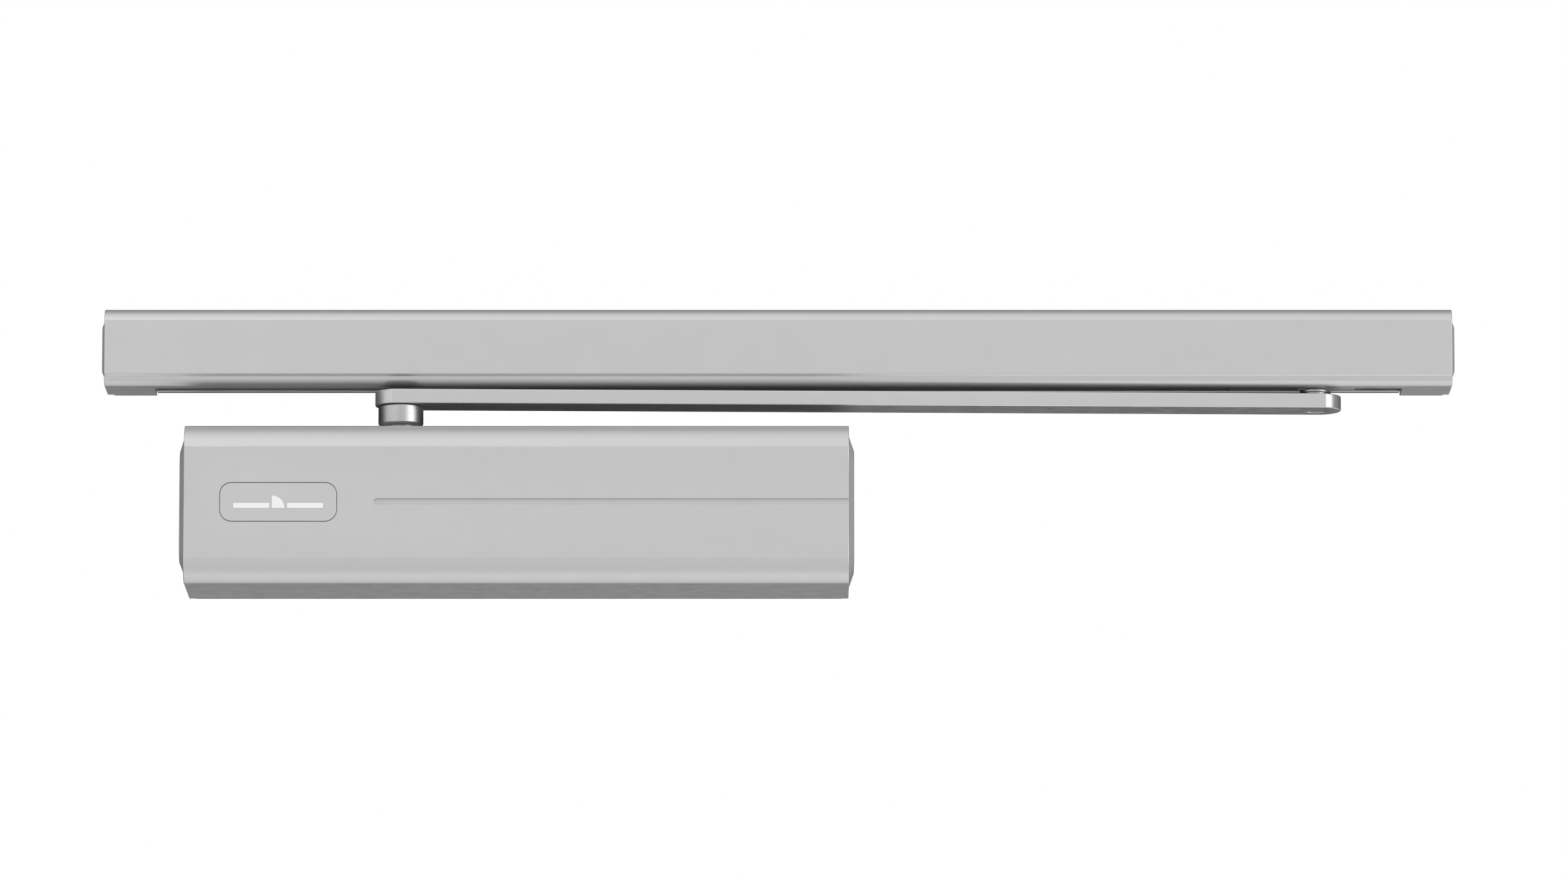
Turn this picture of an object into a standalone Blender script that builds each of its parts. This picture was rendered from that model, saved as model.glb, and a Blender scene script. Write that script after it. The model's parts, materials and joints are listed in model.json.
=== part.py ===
"""Door closer with a slide rail: a cam-action hydraulic closer, its arm and its guide rail.

The closer body is screwed to the door and the guide rail to the frame above it. A heart cam on
the spindle pushes two rollers: one piston loads the closing spring, the other pumps the oil.
The arm is keyed to the spindle's teeth and carries a slide block that runs in the rail.

Frame: the origin is the centre of the closer's back face, +X to the right, +Y into the door
and +Z up, so the back of the closer and of the rail lies on Y = 0. The numbers below are
millimetres, and the geometry is built in metres.
"""

import math

import bmesh
import bpy
from mathutils import Matrix, Vector

MM = 0.001
GAP = 0.3  # clearance between pieces that touch or fit in each other
ROUND = 32  # sides of a large round piece
SMALL_ROUND = 20  # sides of a pin, screw or small hole
MERGE_M = 0.00001
PAST = 5.0  # cutters reach this far past the faces they cut through

# --- closer body ---
BODY_LENGTH = 250.0
BODY_HEIGHT = 60.0
BODY_DEPTH = 48.5
CAP_PROUD = 2.0  # the end caps stand this far out of the cover's ends
COVER_WALL = 1.8
SHOULDER_HEIGHT = 8.9  # from the front flat's edge to the top
SHOULDER_DEPTH = 7.4
SHOULDER_TURN = 70.0  # degrees of the shoulder's ellipse, which leaves a crease at the flat
CAP_THICKNESS = 2.5
CAP_RIM = 1.5
CAP_BEVEL = 5.2
HALF_COVER = BODY_LENGTH / 2
BODY_TOP = BODY_HEIGHT / 2

GROOVE_HEIGHT = 2.6
GROOVE_DEPTH = 0.7
GROOVE_LEFT = -53.6
BADGE_CENTRE_X = -89.4
BADGE_WIDTH = 43.6
BADGE_HEIGHT = 14.4
BADGE_CORNER = 4.2
BADGE_THICKNESS = 0.7

PLATE_THICKNESS = 2.5
PLATE_LENGTH = 236.0
PLATE_HEIGHT = 54.0
PLATE_CORNER = 4.0
DOOR_HOLE_RADIUS = 2.7
DOOR_HOLE_X = 88.0
DOOR_HOLE_Z = 20.5

HOUSING_LENGTH = 224.0
HOUSING_HEIGHT = 53.0
HOUSING_FRONT = -43.8
HOUSING_CHAMFER = 5.5
HOUSING_BACK = -PLATE_THICKNESS - GAP
SCREW_X = 106.0
SCREW_Z = 20.5
SCREW_RADIUS = 2.5
SCREW_HEAD_RADIUS = 4.0
SCREW_HEAD_HEIGHT = 4.0
SCREW_HEAD_FRONT = -39.4
SCREW_SOCKET_RADIUS = 2.1
SCREW_SOCKET_DEPTH = 2.2

# --- spindle, cam and pistons ---
SPINDLE_X = -44.3
SPINDLE_Y = -23.8
JOURNAL_RADIUS = 7.0
JOURNAL_BOTTOM = -22.4
JOURNAL_TOP = 27.5
TEETH = 36
TOOTH_TIP = 6.5
TOOTH_ROOT = 6.0
TOOTH_GAP = GAP + 0.05
TEETH_BOTTOM = 27.0
TEETH_TOP = 39.5
CAM_HALF_THICKNESS = 7.0
CAM_POINTS = 72
ROLLER_RADIUS = 6.5
ROLLER_PIN_RADIUS = 2.5
ROLLER_PIN_HALF = 14.0
CAM_SMALL_RADIUS = 7.8
CAM_RISE_PER_RADIAN = 2.8  # both pistons move this far for each radian of the spindle
PITCH_SMALL = CAM_SMALL_RADIUS + GAP + ROLLER_RADIUS
PITCH_LARGE = PITCH_SMALL + CAM_RISE_PER_RADIAN * math.pi
SPRING_ROLLER_X = SPINDLE_X + PITCH_SMALL
DAMPER_ROLLER_X = SPINDLE_X - PITCH_LARGE
CHAMBER_RADIUS = 17.5
BORE_RADIUS = 16.5
PISTON_RADIUS = BORE_RADIUS - GAP
FORK_REACH = 5.8  # how far the fork reaches past the roller's centre, towards the spindle
FORK_FLOOR = 7.4  # from the roller's centre to the bottom of the fork's slot
FORK_HALF_SLOT = CAM_HALF_THICKNESS + 0.5
SPRING_PISTON_END = -12.0
SPRING_SPIGOT_RADIUS = 9.4
SPRING_SPIGOT_LENGTH = 6.0
DAMPER_PISTON_END = -91.0
RING_X = -84.0
RING_WIDTH = 2.4
RING_DEPTH = 1.6

SPRING_RADIUS = 12.7
SPRING_WIRE = 2.3
SPRING_TURNS = 10
SPRING_PLATE_X = 92.0
SPRING_PLATE_THICKNESS = 4.5
RETURN_SPRING_RADIUS = 7.5
RETURN_SPRING_WIRE = 0.6
RETURN_SPRING_TURNS = 4
COIL_STEPS = 12  # straight pieces in a turn
PLUG_LENGTH = 7.0
PLUG_OUTER = HOUSING_LENGTH / 2 - 0.5
PLUG_INNER = PLUG_OUTER - PLUG_LENGTH
PLUG_CHAMFER = 1.0
PLUG_SOCKET_RADIUS = 5.0
PLUG_SOCKET_FLOOR = 2.5
POWER_SCREW_RADIUS = 3.0
POWER_SCREW_COLLAR = 5.2
POWER_SCREW_COLLAR_LENGTH = 3.0
POWER_SCREW_SOCKET_RADIUS = 1.8
POWER_SCREW_SOCKET_DEPTH = 3.0
POWER_SCREW_START = 86.0

BEARING_OUTER = 10.5
BEARING_INNER = JOURNAL_RADIUS + GAP
BEARING_START = 16.8
BEARING_END = 22.4
SEAL_END = 26.2

VALVE_X = {"closing_speed_valve": -94.0, "latch_speed_valve": -78.0}
VALVE_Z = -18.5
VALVE_FRONT = -43.4
VALVE_BACK = -33.0
VALVE_HEAD_RADIUS = 3.2
VALVE_TIP_RADIUS = 1.6
VALVE_TIP_LENGTH = 2.0
VALVE_TAPER_LENGTH = 2.0
VALVE_SLOT_DEPTH = 1.0
VALVE_SLOT_HALF = 0.5

# --- arm ---
COLLAR_RADIUS = 8.5
COLLAR_BOTTOM = 32.4
COLLAR_CHAMFER = 0.9
COLLAR_SIDES = 64
ARM_BOTTOM = 40.1
ARM_THICKNESS = 5.5
ARM_TOP = ARM_BOTTOM + ARM_THICKNESS
ARM_HALF_WIDTH = 9.2
ARM_END_RADIUS = 9.7
ARM_CHAMFER = 0.45
ARM_SCREW_RADIUS = 2.7
ARM_SCREW_HEAD = 6.0
ARM_SCREW_SUNK = 0.2
ARM_SCREW_RIM = 0.3
ARM_SCREW_SOCKET_RADIUS = 2.3
ARM_SCREW_SOCKET_DEPTH = 2.2
ARM_SCREW_END = 26.0

# --- slide block and its pin ---
PIN_X = 302.0
PIN_Y = -13.2
PIN_HOLE_RADIUS = 4.7
PIN_HEAD_RADIUS = PIN_HOLE_RADIUS - GAP
PIN_HEAD_BOTTOM = 42.7
PIN_DISC_RADIUS = 4.9
PIN_FLANGE_RADIUS = 5.9
PIN_FLANGE_THICKNESS = 1.0
PIN_DISC_TOP = 47.8
PIN_EDGE = 0.3
PIN_RADIUS = 3.3
PIN_TOP = 61.5
BLOCK_LEFT = -32.7  # from the pin
BLOCK_RIGHT = 15.6
BLOCK_TAIL_RIGHT = -6.3
BLOCK_TAIL_FRONT = -9.5
BLOCK_TAIL_BOTTOM = 49.0
BLOCK_OVERLAP = 1.0  # how far its neck and tail reach up into the glider
BLOCK_STOP = 2.6
BLOCK_HEADROOM = 2.8  # the pin stands this far out of the block, for its clip
CLIP_RADIUS = 5.2
CLIP_THICKNESS = 0.8
CLIP_GROOVE_DEPTH = 0.6

# --- guide rail and its cover ---
RAIL_CENTRE_X = 98.4
RAIL_LENGTH = 510.0
RAIL_BOTTOM = 48.1
RAIL_TOP = 77.4
RAIL_DEPTH = 27.0
RAIL_CAP_PROUD = 1.1
RAIL_COVER_WALL = 1.3
RAIL_SHOULDER_HEIGHT = 4.5
RAIL_SHOULDER_DEPTH = 4.5
RAIL_SHOULDER_TURN = 70.0
RAIL_FLAT_BOTTOM = 52.6
RAIL_STEP_BOTTOM = 51.1
RAIL_STEP_DEPTH = 0.9
RAIL_FOOT_DEPTH = 3.7  # of the quarter ellipse under the step
RAIL_LIP_BACK = -17.7  # the cover's underside reaches back to here along the rail
RAIL_END_LENGTH = 18.7  # and over the full depth at each end
RAIL_CAP_THICKNESS = 2.2
RAIL_CAP_RIM = 1.9
RAIL_CAP_BEVEL = 2.4
RAIL_LEFT = RAIL_CENTRE_X - RAIL_LENGTH / 2
RAIL_RIGHT = RAIL_CENTRE_X + RAIL_LENGTH / 2
TRACK_LEFT = RAIL_LEFT + RAIL_END_LENGTH + GAP
TRACK_RIGHT = RAIL_RIGHT - RAIL_END_LENGTH - GAP
TRACK_WALL = 2.0
TRACK_FRONT = -24.0
TRACK_TOP = 74.6
TRACK_WEB = 63.1  # underside of the web over the slide block
TRACK_REAR_BOTTOM = 49.1
TRACK_FRONT_BOTTOM = 50.2
SLOT_FRONT = -20.0
SLOT_BACK = -4.0
END_BLOCK_LENGTH = 13.0
END_BLOCK_FRONT = TRACK_FRONT + 1.5
TONGUE_LENGTH = 5.0
BUFFER_LENGTH = 3.0
BUFFER_INSET = 1.0
BUFFER_EDGE = 0.8
END_SCREW_RADIUS = 2.7
END_SCREW_HEAD_RADIUS = 5.0
END_SCREW_FLOOR = 8.0  # from the wall to the floor of the screw's head
END_SCREW_Z = 63.0

# Turns that stand a shape drawn in XY so that its own Z runs along the named axis.
STAND = {
    "X": Matrix(((0, 0, 1), (1, 0, 0), (0, 1, 0))).to_4x4(),
    "Y": Matrix(((1, 0, 0), (0, 0, -1), (0, 1, 0))).to_4x4(),
    "Z": Matrix.Identity(4),
}
ALONG = {"X": Vector((1, 0, 0)), "Y": Vector((0, -1, 0)), "Z": Vector((0, 0, 1))}

FINISHES = {  # colour, roughness, metallic
    "silver_paint": ((0.56, 0.56, 0.57, 1.0), 0.38, 0.7),
    "grey_plastic": ((0.34, 0.34, 0.35, 1.0), 0.5, 0.0),
    "badge_silver": ((0.56, 0.56, 0.57, 1.0), 0.4, 0.7),
    "cast_aluminium": ((0.48, 0.48, 0.49, 1.0), 0.55, 1.0),
    "bright_steel": ((0.62, 0.62, 0.63, 1.0), 0.25, 1.0),
    "dark_steel": ((0.22, 0.22, 0.23, 1.0), 0.4, 1.0),
    "zinc_steel": ((0.55, 0.56, 0.58, 1.0), 0.35, 1.0),
    "brass": ((0.72, 0.52, 0.22, 1.0), 0.3, 1.0),
    "nylon": ((0.3, 0.3, 0.31, 1.0), 0.5, 0.0),
    "rubber": ((0.03, 0.03, 0.03, 1.0), 0.8, 0.0),
}


def clear_scene():
    for item in list(bpy.data.objects):
        bpy.data.objects.remove(item, do_unlink=True)


def new_collection(name):
    collection = bpy.data.collections.new(name)
    bpy.context.scene.collection.children.link(collection)
    return collection


def new_finish(name):
    colour, roughness, metallic = FINISHES[name]
    material = bpy.data.materials.new(name)
    material.use_nodes = True
    shader = material.node_tree.nodes["Principled BSDF"]
    shader.inputs["Base Color"].default_value = colour
    shader.inputs["Roughness"].default_value = roughness
    shader.inputs["Metallic"].default_value = metallic
    return material


clear_scene()
PARTS = new_collection("door_closer")
CUTTERS = new_collection("door_closer_cutters")
MATERIALS = {name: new_finish(name) for name in FINISHES}


# --- outlines, as lists of points in millimetres ---


def arc(centre, radius, start, end, steps):
    """Points on a circle, from one angle to the other, in degrees."""
    points = []
    for step in range(steps + 1):
        angle = math.radians(start + (end - start) * step / steps)
        points.append((centre[0] + radius * math.cos(angle), centre[1] + radius * math.sin(angle)))
    return points


def circle(centre, radius, sides):
    return arc(centre, radius, 0, 360 - 360 / sides, sides - 1)


def rounded_rectangle(centre, width, height, corner, steps=5):
    points = []
    for quarter, (side, level) in enumerate(((1, 1), (-1, 1), (-1, -1), (1, -1))):
        middle = (centre[0] + side * (width / 2 - corner), centre[1] + level * (height / 2 - corner))
        points += arc(middle, corner, 90 * quarter, 90 * quarter + 90, steps)
    return points


def rectangle(left, right, low, high):
    return [(left, low), (right, low), (right, high), (left, high)]


def shoulder(front, edge, depth, height, turn, steps=6):
    """A quarter-like ellipse from the flat top forward and down to the front flat's edge."""
    end = math.radians(turn)
    across = depth / math.sin(end)
    down = height / (1 - math.cos(end))
    points = []
    for step in range(steps + 1):
        angle = end * step / steps
        points.append(
            (front + depth - across * math.sin(angle), edge + height - down * (1 - math.cos(angle)))
        )
    return points


def body_outline(inset, back):
    """The closer body's section in Y and Z, moved in by an inset and closed at the back."""
    upper = shoulder(
        inset - BODY_DEPTH,
        BODY_TOP - SHOULDER_HEIGHT,
        SHOULDER_DEPTH,
        SHOULDER_HEIGHT - inset,
        SHOULDER_TURN,
    )
    lower = [(y, -z) for y, z in reversed(upper)]
    return [(back, BODY_TOP - inset)] + upper + lower + [(back, inset - BODY_TOP)]


def rail_outline(inset, foot_end):
    """The rail cover's section in Y and Z, from the back of its top to the end of its underside."""
    upper = shoulder(
        inset - RAIL_DEPTH,
        RAIL_TOP - RAIL_SHOULDER_HEIGHT,
        RAIL_SHOULDER_DEPTH,
        RAIL_SHOULDER_HEIGHT - inset,
        RAIL_SHOULDER_TURN,
        steps=4,
    )
    front_edge = [(inset - RAIL_DEPTH, RAIL_FLAT_BOTTOM + inset / 2)]
    foot_centre_y = RAIL_STEP_DEPTH - RAIL_DEPTH + RAIL_FOOT_DEPTH
    foot_height = RAIL_STEP_BOTTOM - RAIL_BOTTOM
    foot = []
    for across, up in arc((0, 0), 1, 180, 270, 4):
        foot.append(
            (
                foot_centre_y + (RAIL_FOOT_DEPTH - inset) * across,
                RAIL_STEP_BOTTOM + (foot_height - inset) * up,
            )
        )
    return upper + front_edge + foot + [(foot_end, RAIL_BOTTOM + inset)]


def cam_outline():
    """The heart cam: as close to both rollers as the gap allows at every turn of the spindle."""
    reach = ROLLER_RADIUS + GAP
    samples = 720
    pitch = []
    for index in range(samples):
        turn = -math.pi + 2 * math.pi * index / samples
        pitch.append((turn, PITCH_SMALL + CAM_RISE_PER_RADIAN * abs(turn)))
    outline = []
    for index in range(CAM_POINTS):
        angle = -math.pi + 2 * math.pi * index / CAM_POINTS
        radius = PITCH_LARGE
        for turn, distance in pitch:
            off = angle - turn
            sideways = distance * math.sin(off)
            if math.cos(off) > 0 and abs(sideways) < reach:
                limit = distance * math.cos(off) - math.sqrt(reach**2 - sideways**2)
                radius = min(radius, limit)
        outline.append(
            (SPINDLE_X + radius * math.cos(angle), SPINDLE_Y + radius * math.sin(angle))
        )
    return outline


def toothed_circle(centre, root, tip):
    """A ring of fine teeth with flat roots and tips."""
    points = []
    for tooth in range(TEETH):
        for share, radius in ((0.0, root), (0.5, tip)):
            angle = 2 * math.pi * (tooth + share) / TEETH
            points.append(
                (centre[0] + radius * math.cos(angle), centre[1] + radius * math.sin(angle))
            )
    return points


def arm_outline():
    """Two straight sides and two round ends, slightly larger than the bar is wide."""
    length = math.hypot(PIN_X - SPINDLE_X, PIN_Y - SPINDLE_Y)
    lean = math.degrees(math.atan2(PIN_Y - SPINDLE_Y, PIN_X - SPINDLE_X))
    open_angle = math.degrees(math.asin(ARM_HALF_WIDTH / ARM_END_RADIUS))
    far = arc((length, 0), ARM_END_RADIUS, -open_angle, open_angle, 14)
    near = arc((0, 0), ARM_END_RADIUS, 180 - open_angle, 180 + open_angle, 14)
    turn = Matrix.Rotation(math.radians(lean), 2)
    return [tuple(turn @ Vector(point) + Vector((SPINDLE_X, SPINDLE_Y))) for point in far + near]


# --- solids ---


def place(name, mesh, finish=None):
    """An object in the model, or among the cutters where it has no finish."""
    item = bpy.data.objects.new(name, mesh)
    if finish:
        PARTS.objects.link(item)
        item.data.materials.append(MATERIALS[finish])
    else:
        CUTTERS.objects.link(item)
        item.hide_render = True
        item.display_type = "WIRE"
    return item


def shade(item):
    item.data.shade_smooth()
    item.data.set_sharp_from_angle(angle=math.radians(30))


def extruded(name, finish, loops, axis, start, end):
    """A flat outline, with any holes as further loops, drawn out along an axis."""
    curve = bpy.data.curves.new(name, "CURVE")
    curve.dimensions = "2D"
    curve.fill_mode = "BOTH"
    curve.extrude = abs(end - start) / 2 * MM
    for loop in loops:
        spline = curve.splines.new("POLY")
        spline.points.add(len(loop) - 1)
        spline.use_cyclic_u = True
        for point, (across, up) in zip(spline.points, loop):
            point.co = (across * MM, up * MM, 0, 1)
    drawn = bpy.data.objects.new(name + "_outline", curve)
    CUTTERS.objects.link(drawn)
    bpy.context.view_layer.update()
    evaluated = drawn.evaluated_get(bpy.context.evaluated_depsgraph_get())
    mesh = bpy.data.meshes.new_from_object(evaluated)
    bpy.data.objects.remove(drawn)
    weld(mesh)
    middle = (start + end) / 2 * (-1 if axis == "Y" else 1)
    mesh.transform(Matrix.Translation(ALONG[axis] * middle * MM) @ STAND[axis])
    item = place(name, mesh, finish)
    shade(item)
    return item


def weld(mesh):
    work = bmesh.new()
    work.from_mesh(mesh)
    bmesh.ops.remove_doubles(work, verts=work.verts, dist=MERGE_M)
    bmesh.ops.recalc_face_normals(work, faces=work.faces)
    work.to_mesh(mesh)
    work.free()


def box(name, finish, low, high):
    """A block between two opposite corners."""
    work = bmesh.new()
    bmesh.ops.create_cube(work, size=1.0)
    mesh = bpy.data.meshes.new(name)
    work.to_mesh(mesh)
    work.free()
    size = (Vector(high) - Vector(low)) * MM
    middle = (Vector(high) + Vector(low)) / 2 * MM
    mesh.transform(Matrix.Translation(middle) @ Matrix.Diagonal(size.to_4d()))
    return place(name, mesh, finish)


def turned(name, finish, profile, axis, centre, sides=ROUND):
    """A turned piece: radius and height pairs down its outer side, turned about an axis."""
    mesh = bpy.data.meshes.new(name)
    points = [(radius * MM, 0, height * MM) for radius, height in profile]
    closed = profile[0][0] > 0 and profile[-1][0] > 0
    edges = [(index, index + 1) for index in range(len(points) - 1)]
    if closed:
        edges.append((len(points) - 1, 0))
    mesh.from_pydata(points, edges, [])
    item = place(name, mesh, finish)
    item.matrix_world = Matrix.Translation(Vector(centre) * MM) @ STAND[axis]
    screw = item.modifiers.new("Turn", "SCREW")
    screw.axis = "Z"
    screw.steps = sides
    screw.render_steps = sides
    screw.use_merge_vertices = True
    screw.merge_threshold = MERGE_M
    screw.use_smooth_shade = True
    return item


def cylinder(name, finish, axis, centre, radius, start, end, sides=ROUND):
    """A plain round bar, its heights counted along the axis from the centre."""
    profile = ((0, end), (radius, end), (radius, start), (0, start))
    return turned(name, finish, profile, axis, centre, sides)


def ring(name, finish, axis, centre, outer, inner, start, end, sides=ROUND):
    profile = ((inner, end), (outer, end), (outer, start), (inner, start))
    return turned(name, finish, profile, axis, centre, sides)


def coil(name, finish, radius, wire, turns, start, end):
    """A round wire wound about the cylinder's axis, between two places along X."""
    per_turn = COIL_STEPS
    curve = bpy.data.curves.new(name, "CURVE")
    curve.dimensions = "3D"
    curve.bevel_depth = wire * MM
    curve.bevel_resolution = 2
    curve.use_fill_caps = True
    spline = curve.splines.new("POLY")
    count = turns * per_turn
    spline.points.add(count)
    travel = end - start - 2 * wire
    for index, point in enumerate(spline.points):
        angle = 2 * math.pi * index / per_turn
        along = start + wire + travel * index / count
        across = SPINDLE_Y + radius * math.cos(angle)
        point.co = (along * MM, across * MM, radius * math.sin(angle) * MM, 1)
    item = bpy.data.objects.new(name, curve)
    PARTS.objects.link(item)
    curve.materials.append(MATERIALS[finish])
    return item


def change(item, operation, tool):
    """Joins a cutter to a piece or cuts it away."""
    step = item.modifiers.new(tool.name, "BOOLEAN")
    step.operation = operation
    step.solver = "EXACT"
    step.object = tool


def cut(item, *tools):
    for tool in tools:
        change(item, "DIFFERENCE", tool)


def join(item, *tools):
    for tool in tools:
        change(item, "UNION", tool)


def bevel(item, width, angle=40):
    step = item.modifiers.new("Edges", "BEVEL")
    step.width = width * MM
    step.segments = 1
    step.limit_method = "ANGLE"
    step.angle_limit = math.radians(angle)


def shrunk(points, distance):
    """Scales an outline so that each side of its box moves in by the distance."""
    lows = [min(point[axis] for point in points) for axis in (0, 1)]
    highs = [max(point[axis] for point in points) for axis in (0, 1)]
    moved = []
    for point in points:
        place = []
        for value, low, high in zip(point, lows, highs):
            middle = (low + high) / 2
            place.append(middle + (value - middle) * (1 - 2 * distance / (high - low)))
        moved.append(tuple(place))
    return moved


def padded_cap(name, finish, outline, end, side, thickness, rim, slope, height):
    """A flat cap across X whose outer face rises, behind a rim, into a pad with sloping sides."""
    work = bmesh.new()
    layers = ((0, -thickness), (0, 0), (rim, 0), (rim + slope, height))
    rows = []
    for inset, rise in layers:
        x = end + side * rise
        rows.append([work.verts.new(Vector((x, y, z)) * MM) for y, z in shrunk(outline, inset)])
    for row, following in zip(rows, rows[1:]):
        for index in range(len(row)):
            corners = (row[index - 1], row[index], following[index], following[index - 1])
            work.faces.new(corners)
    work.faces.new(rows[0])
    work.faces.new(rows[-1])
    bmesh.ops.recalc_face_normals(work, faces=work.faces)
    mesh = bpy.data.meshes.new(name)
    work.to_mesh(mesh)
    work.free()
    cap = place(name, mesh, finish)
    shade(cap)
    return cap


def carried_by(name, place_mm, items):
    """Hangs a moving body's pieces on an empty that stands on its joint's axis."""
    carrier = bpy.data.objects.new(name, None)
    carrier.location = Vector(place_mm) * MM
    PARTS.objects.link(carrier)
    bpy.context.view_layer.update()
    for item in items:
        item.parent = carrier
        item.matrix_parent_inverse = carrier.matrix_world.inverted()


# --- closer body: what is screwed to the door ---


def make_mounting_plate():
    holes = []
    for side in (-1, 1):
        for level in (-1, 1):
            holes.append(circle((side * DOOR_HOLE_X, level * DOOR_HOLE_Z), DOOR_HOLE_RADIUS, 12))
            holes.append(circle((side * SCREW_X, level * SCREW_Z), SCREW_RADIUS + GAP, 12))
    plate = rounded_rectangle((0, 0), PLATE_LENGTH, PLATE_HEIGHT, PLATE_CORNER)
    extruded("mounting_plate", "zinc_steel", [plate] + holes, "Y", -PLATE_THICKNESS, 0)


def housing_outline():
    half = HOUSING_HEIGHT / 2
    return [
        (HOUSING_BACK, half),
        (HOUSING_FRONT + HOUSING_CHAMFER, half),
        (HOUSING_FRONT, half - HOUSING_CHAMFER),
        (HOUSING_FRONT, HOUSING_CHAMFER - half),
        (HOUSING_FRONT + HOUSING_CHAMFER, -half),
        (HOUSING_BACK, -half),
    ]


def make_housing():
    half = HOUSING_LENGTH / 2
    housing = extruded("closer_housing", "cast_aluminium", [housing_outline()], "X", -half, half)
    spindle = (SPINDLE_X, SPINDLE_Y, 0)
    end = half + PAST
    bore = cylinder("cut_bore", None, "X", (0, SPINDLE_Y, 0), BORE_RADIUS, -end, end)
    depth = FORK_HALF_SLOT + GAP
    chamber = cylinder("cut_chamber", None, "Z", spindle, CHAMBER_RADIUS, -depth, depth)
    seat_radius = BEARING_OUTER + GAP
    seat = cylinder("cut_seat", None, "Z", spindle, seat_radius, -BODY_TOP, BODY_TOP)
    cut(housing, bore, chamber, seat)
    for name, x in VALVE_X.items():
        cut(
            housing,
            cylinder(
                "cut_" + name,
                None,
                "Y",
                (x, 0, VALVE_Z),
                VALVE_HEAD_RADIUS + GAP,
                -VALVE_BACK - GAP,
                PAST - HOUSING_FRONT,
                SMALL_ROUND,
            ),
        )
    for side in (-1, 1):
        for level in (-1, 1):
            cut(housing, screw_well(side, level))


def screw_well(side, level):
    """The hole and counterbore of one housing screw."""
    shank = SCREW_RADIUS + GAP
    head = SCREW_HEAD_RADIUS + GAP
    floor = -SCREW_HEAD_FRONT - SCREW_HEAD_HEIGHT - GAP
    mouth = PAST - HOUSING_FRONT
    profile = (
        (0, mouth),
        (head, mouth),
        (head, floor),
        (shank, floor),
        (shank, -PAST),
        (0, -PAST),
    )
    centre = (side * SCREW_X, 0, level * SCREW_Z)
    name = "cut_screw_%s_%s" % (side_name(side), level_name(level))
    return turned(name, None, profile, "Y", centre, SMALL_ROUND)


def side_name(side):
    return "right" if side > 0 else "left"


def level_name(level):
    return "upper" if level > 0 else "lower"


def make_housing_screws():
    head_back = -SCREW_HEAD_FRONT - SCREW_HEAD_HEIGHT
    socket_floor = -SCREW_HEAD_FRONT - SCREW_SOCKET_DEPTH
    profile = (
        (0, socket_floor),
        (SCREW_SOCKET_RADIUS, socket_floor),
        (SCREW_SOCKET_RADIUS, -SCREW_HEAD_FRONT),
        (SCREW_HEAD_RADIUS, -SCREW_HEAD_FRONT),
        (SCREW_HEAD_RADIUS, head_back),
        (SCREW_RADIUS, head_back),
        (SCREW_RADIUS, GAP),
        (0, GAP),
    )
    for side in (-1, 1):
        for level in (-1, 1):
            name = "housing_screw_%s_%s" % (level_name(level), side_name(side))
            centre = (side * SCREW_X, 0, level * SCREW_Z)
            turned(name, "dark_steel", profile, "Y", centre, SMALL_ROUND)


def make_cover():
    outer = body_outline(0, 0)
    inner = body_outline(COVER_WALL, 0)
    shell = outer + list(reversed(inner))
    cover = extruded("body_cover", "silver_paint", [shell], "X", -HALF_COVER, HALF_COVER)
    spindle = (SPINDLE_X, SPINDLE_Y, 0)
    low = BODY_TOP - COVER_WALL - PAST
    opening = cylinder("cut_cover_top", None, "Z", spindle, COLLAR_RADIUS, low, BODY_TOP + PAST)
    half = GROOVE_HEIGHT / 2
    left = arc((GROOVE_LEFT + half, 0), half, 90, 270, 10)
    floor = GROOVE_DEPTH - BODY_DEPTH
    groove_loop = left + [(HALF_COVER, -half), (HALF_COVER, half)]
    groove = extruded("cut_groove", None, [groove_loop], "Y", -BODY_DEPTH - PAST, floor)
    recess_loop = rounded_rectangle(
        (BADGE_CENTRE_X, 0), BADGE_WIDTH + 2 * GAP, BADGE_HEIGHT + 2 * GAP, BADGE_CORNER + GAP
    )
    recess_floor = BADGE_THICKNESS + GAP - BODY_DEPTH
    recess = extruded("cut_recess", None, [recess_loop], "Y", -BODY_DEPTH - PAST, recess_floor)
    cut(cover, opening, groove, recess)


def make_badge():
    plate = rounded_rectangle((BADGE_CENTRE_X, 0), BADGE_WIDTH, BADGE_HEIGHT, BADGE_CORNER)
    floor = BADGE_THICKNESS - BODY_DEPTH
    extruded("badge_plate", "badge_silver", [plate], "Y", -BODY_DEPTH, floor)


def make_cover_caps():
    outline = body_outline(COVER_WALL + GAP, -GAP)
    for side in (-1, 1):
        padded_cap(
            "cover_end_cap_" + side_name(side),
            "grey_plastic",
            outline,
            side * HALF_COVER,
            side,
            CAP_THICKNESS,
            CAP_RIM,
            CAP_BEVEL,
            CAP_PROUD,
        )


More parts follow.
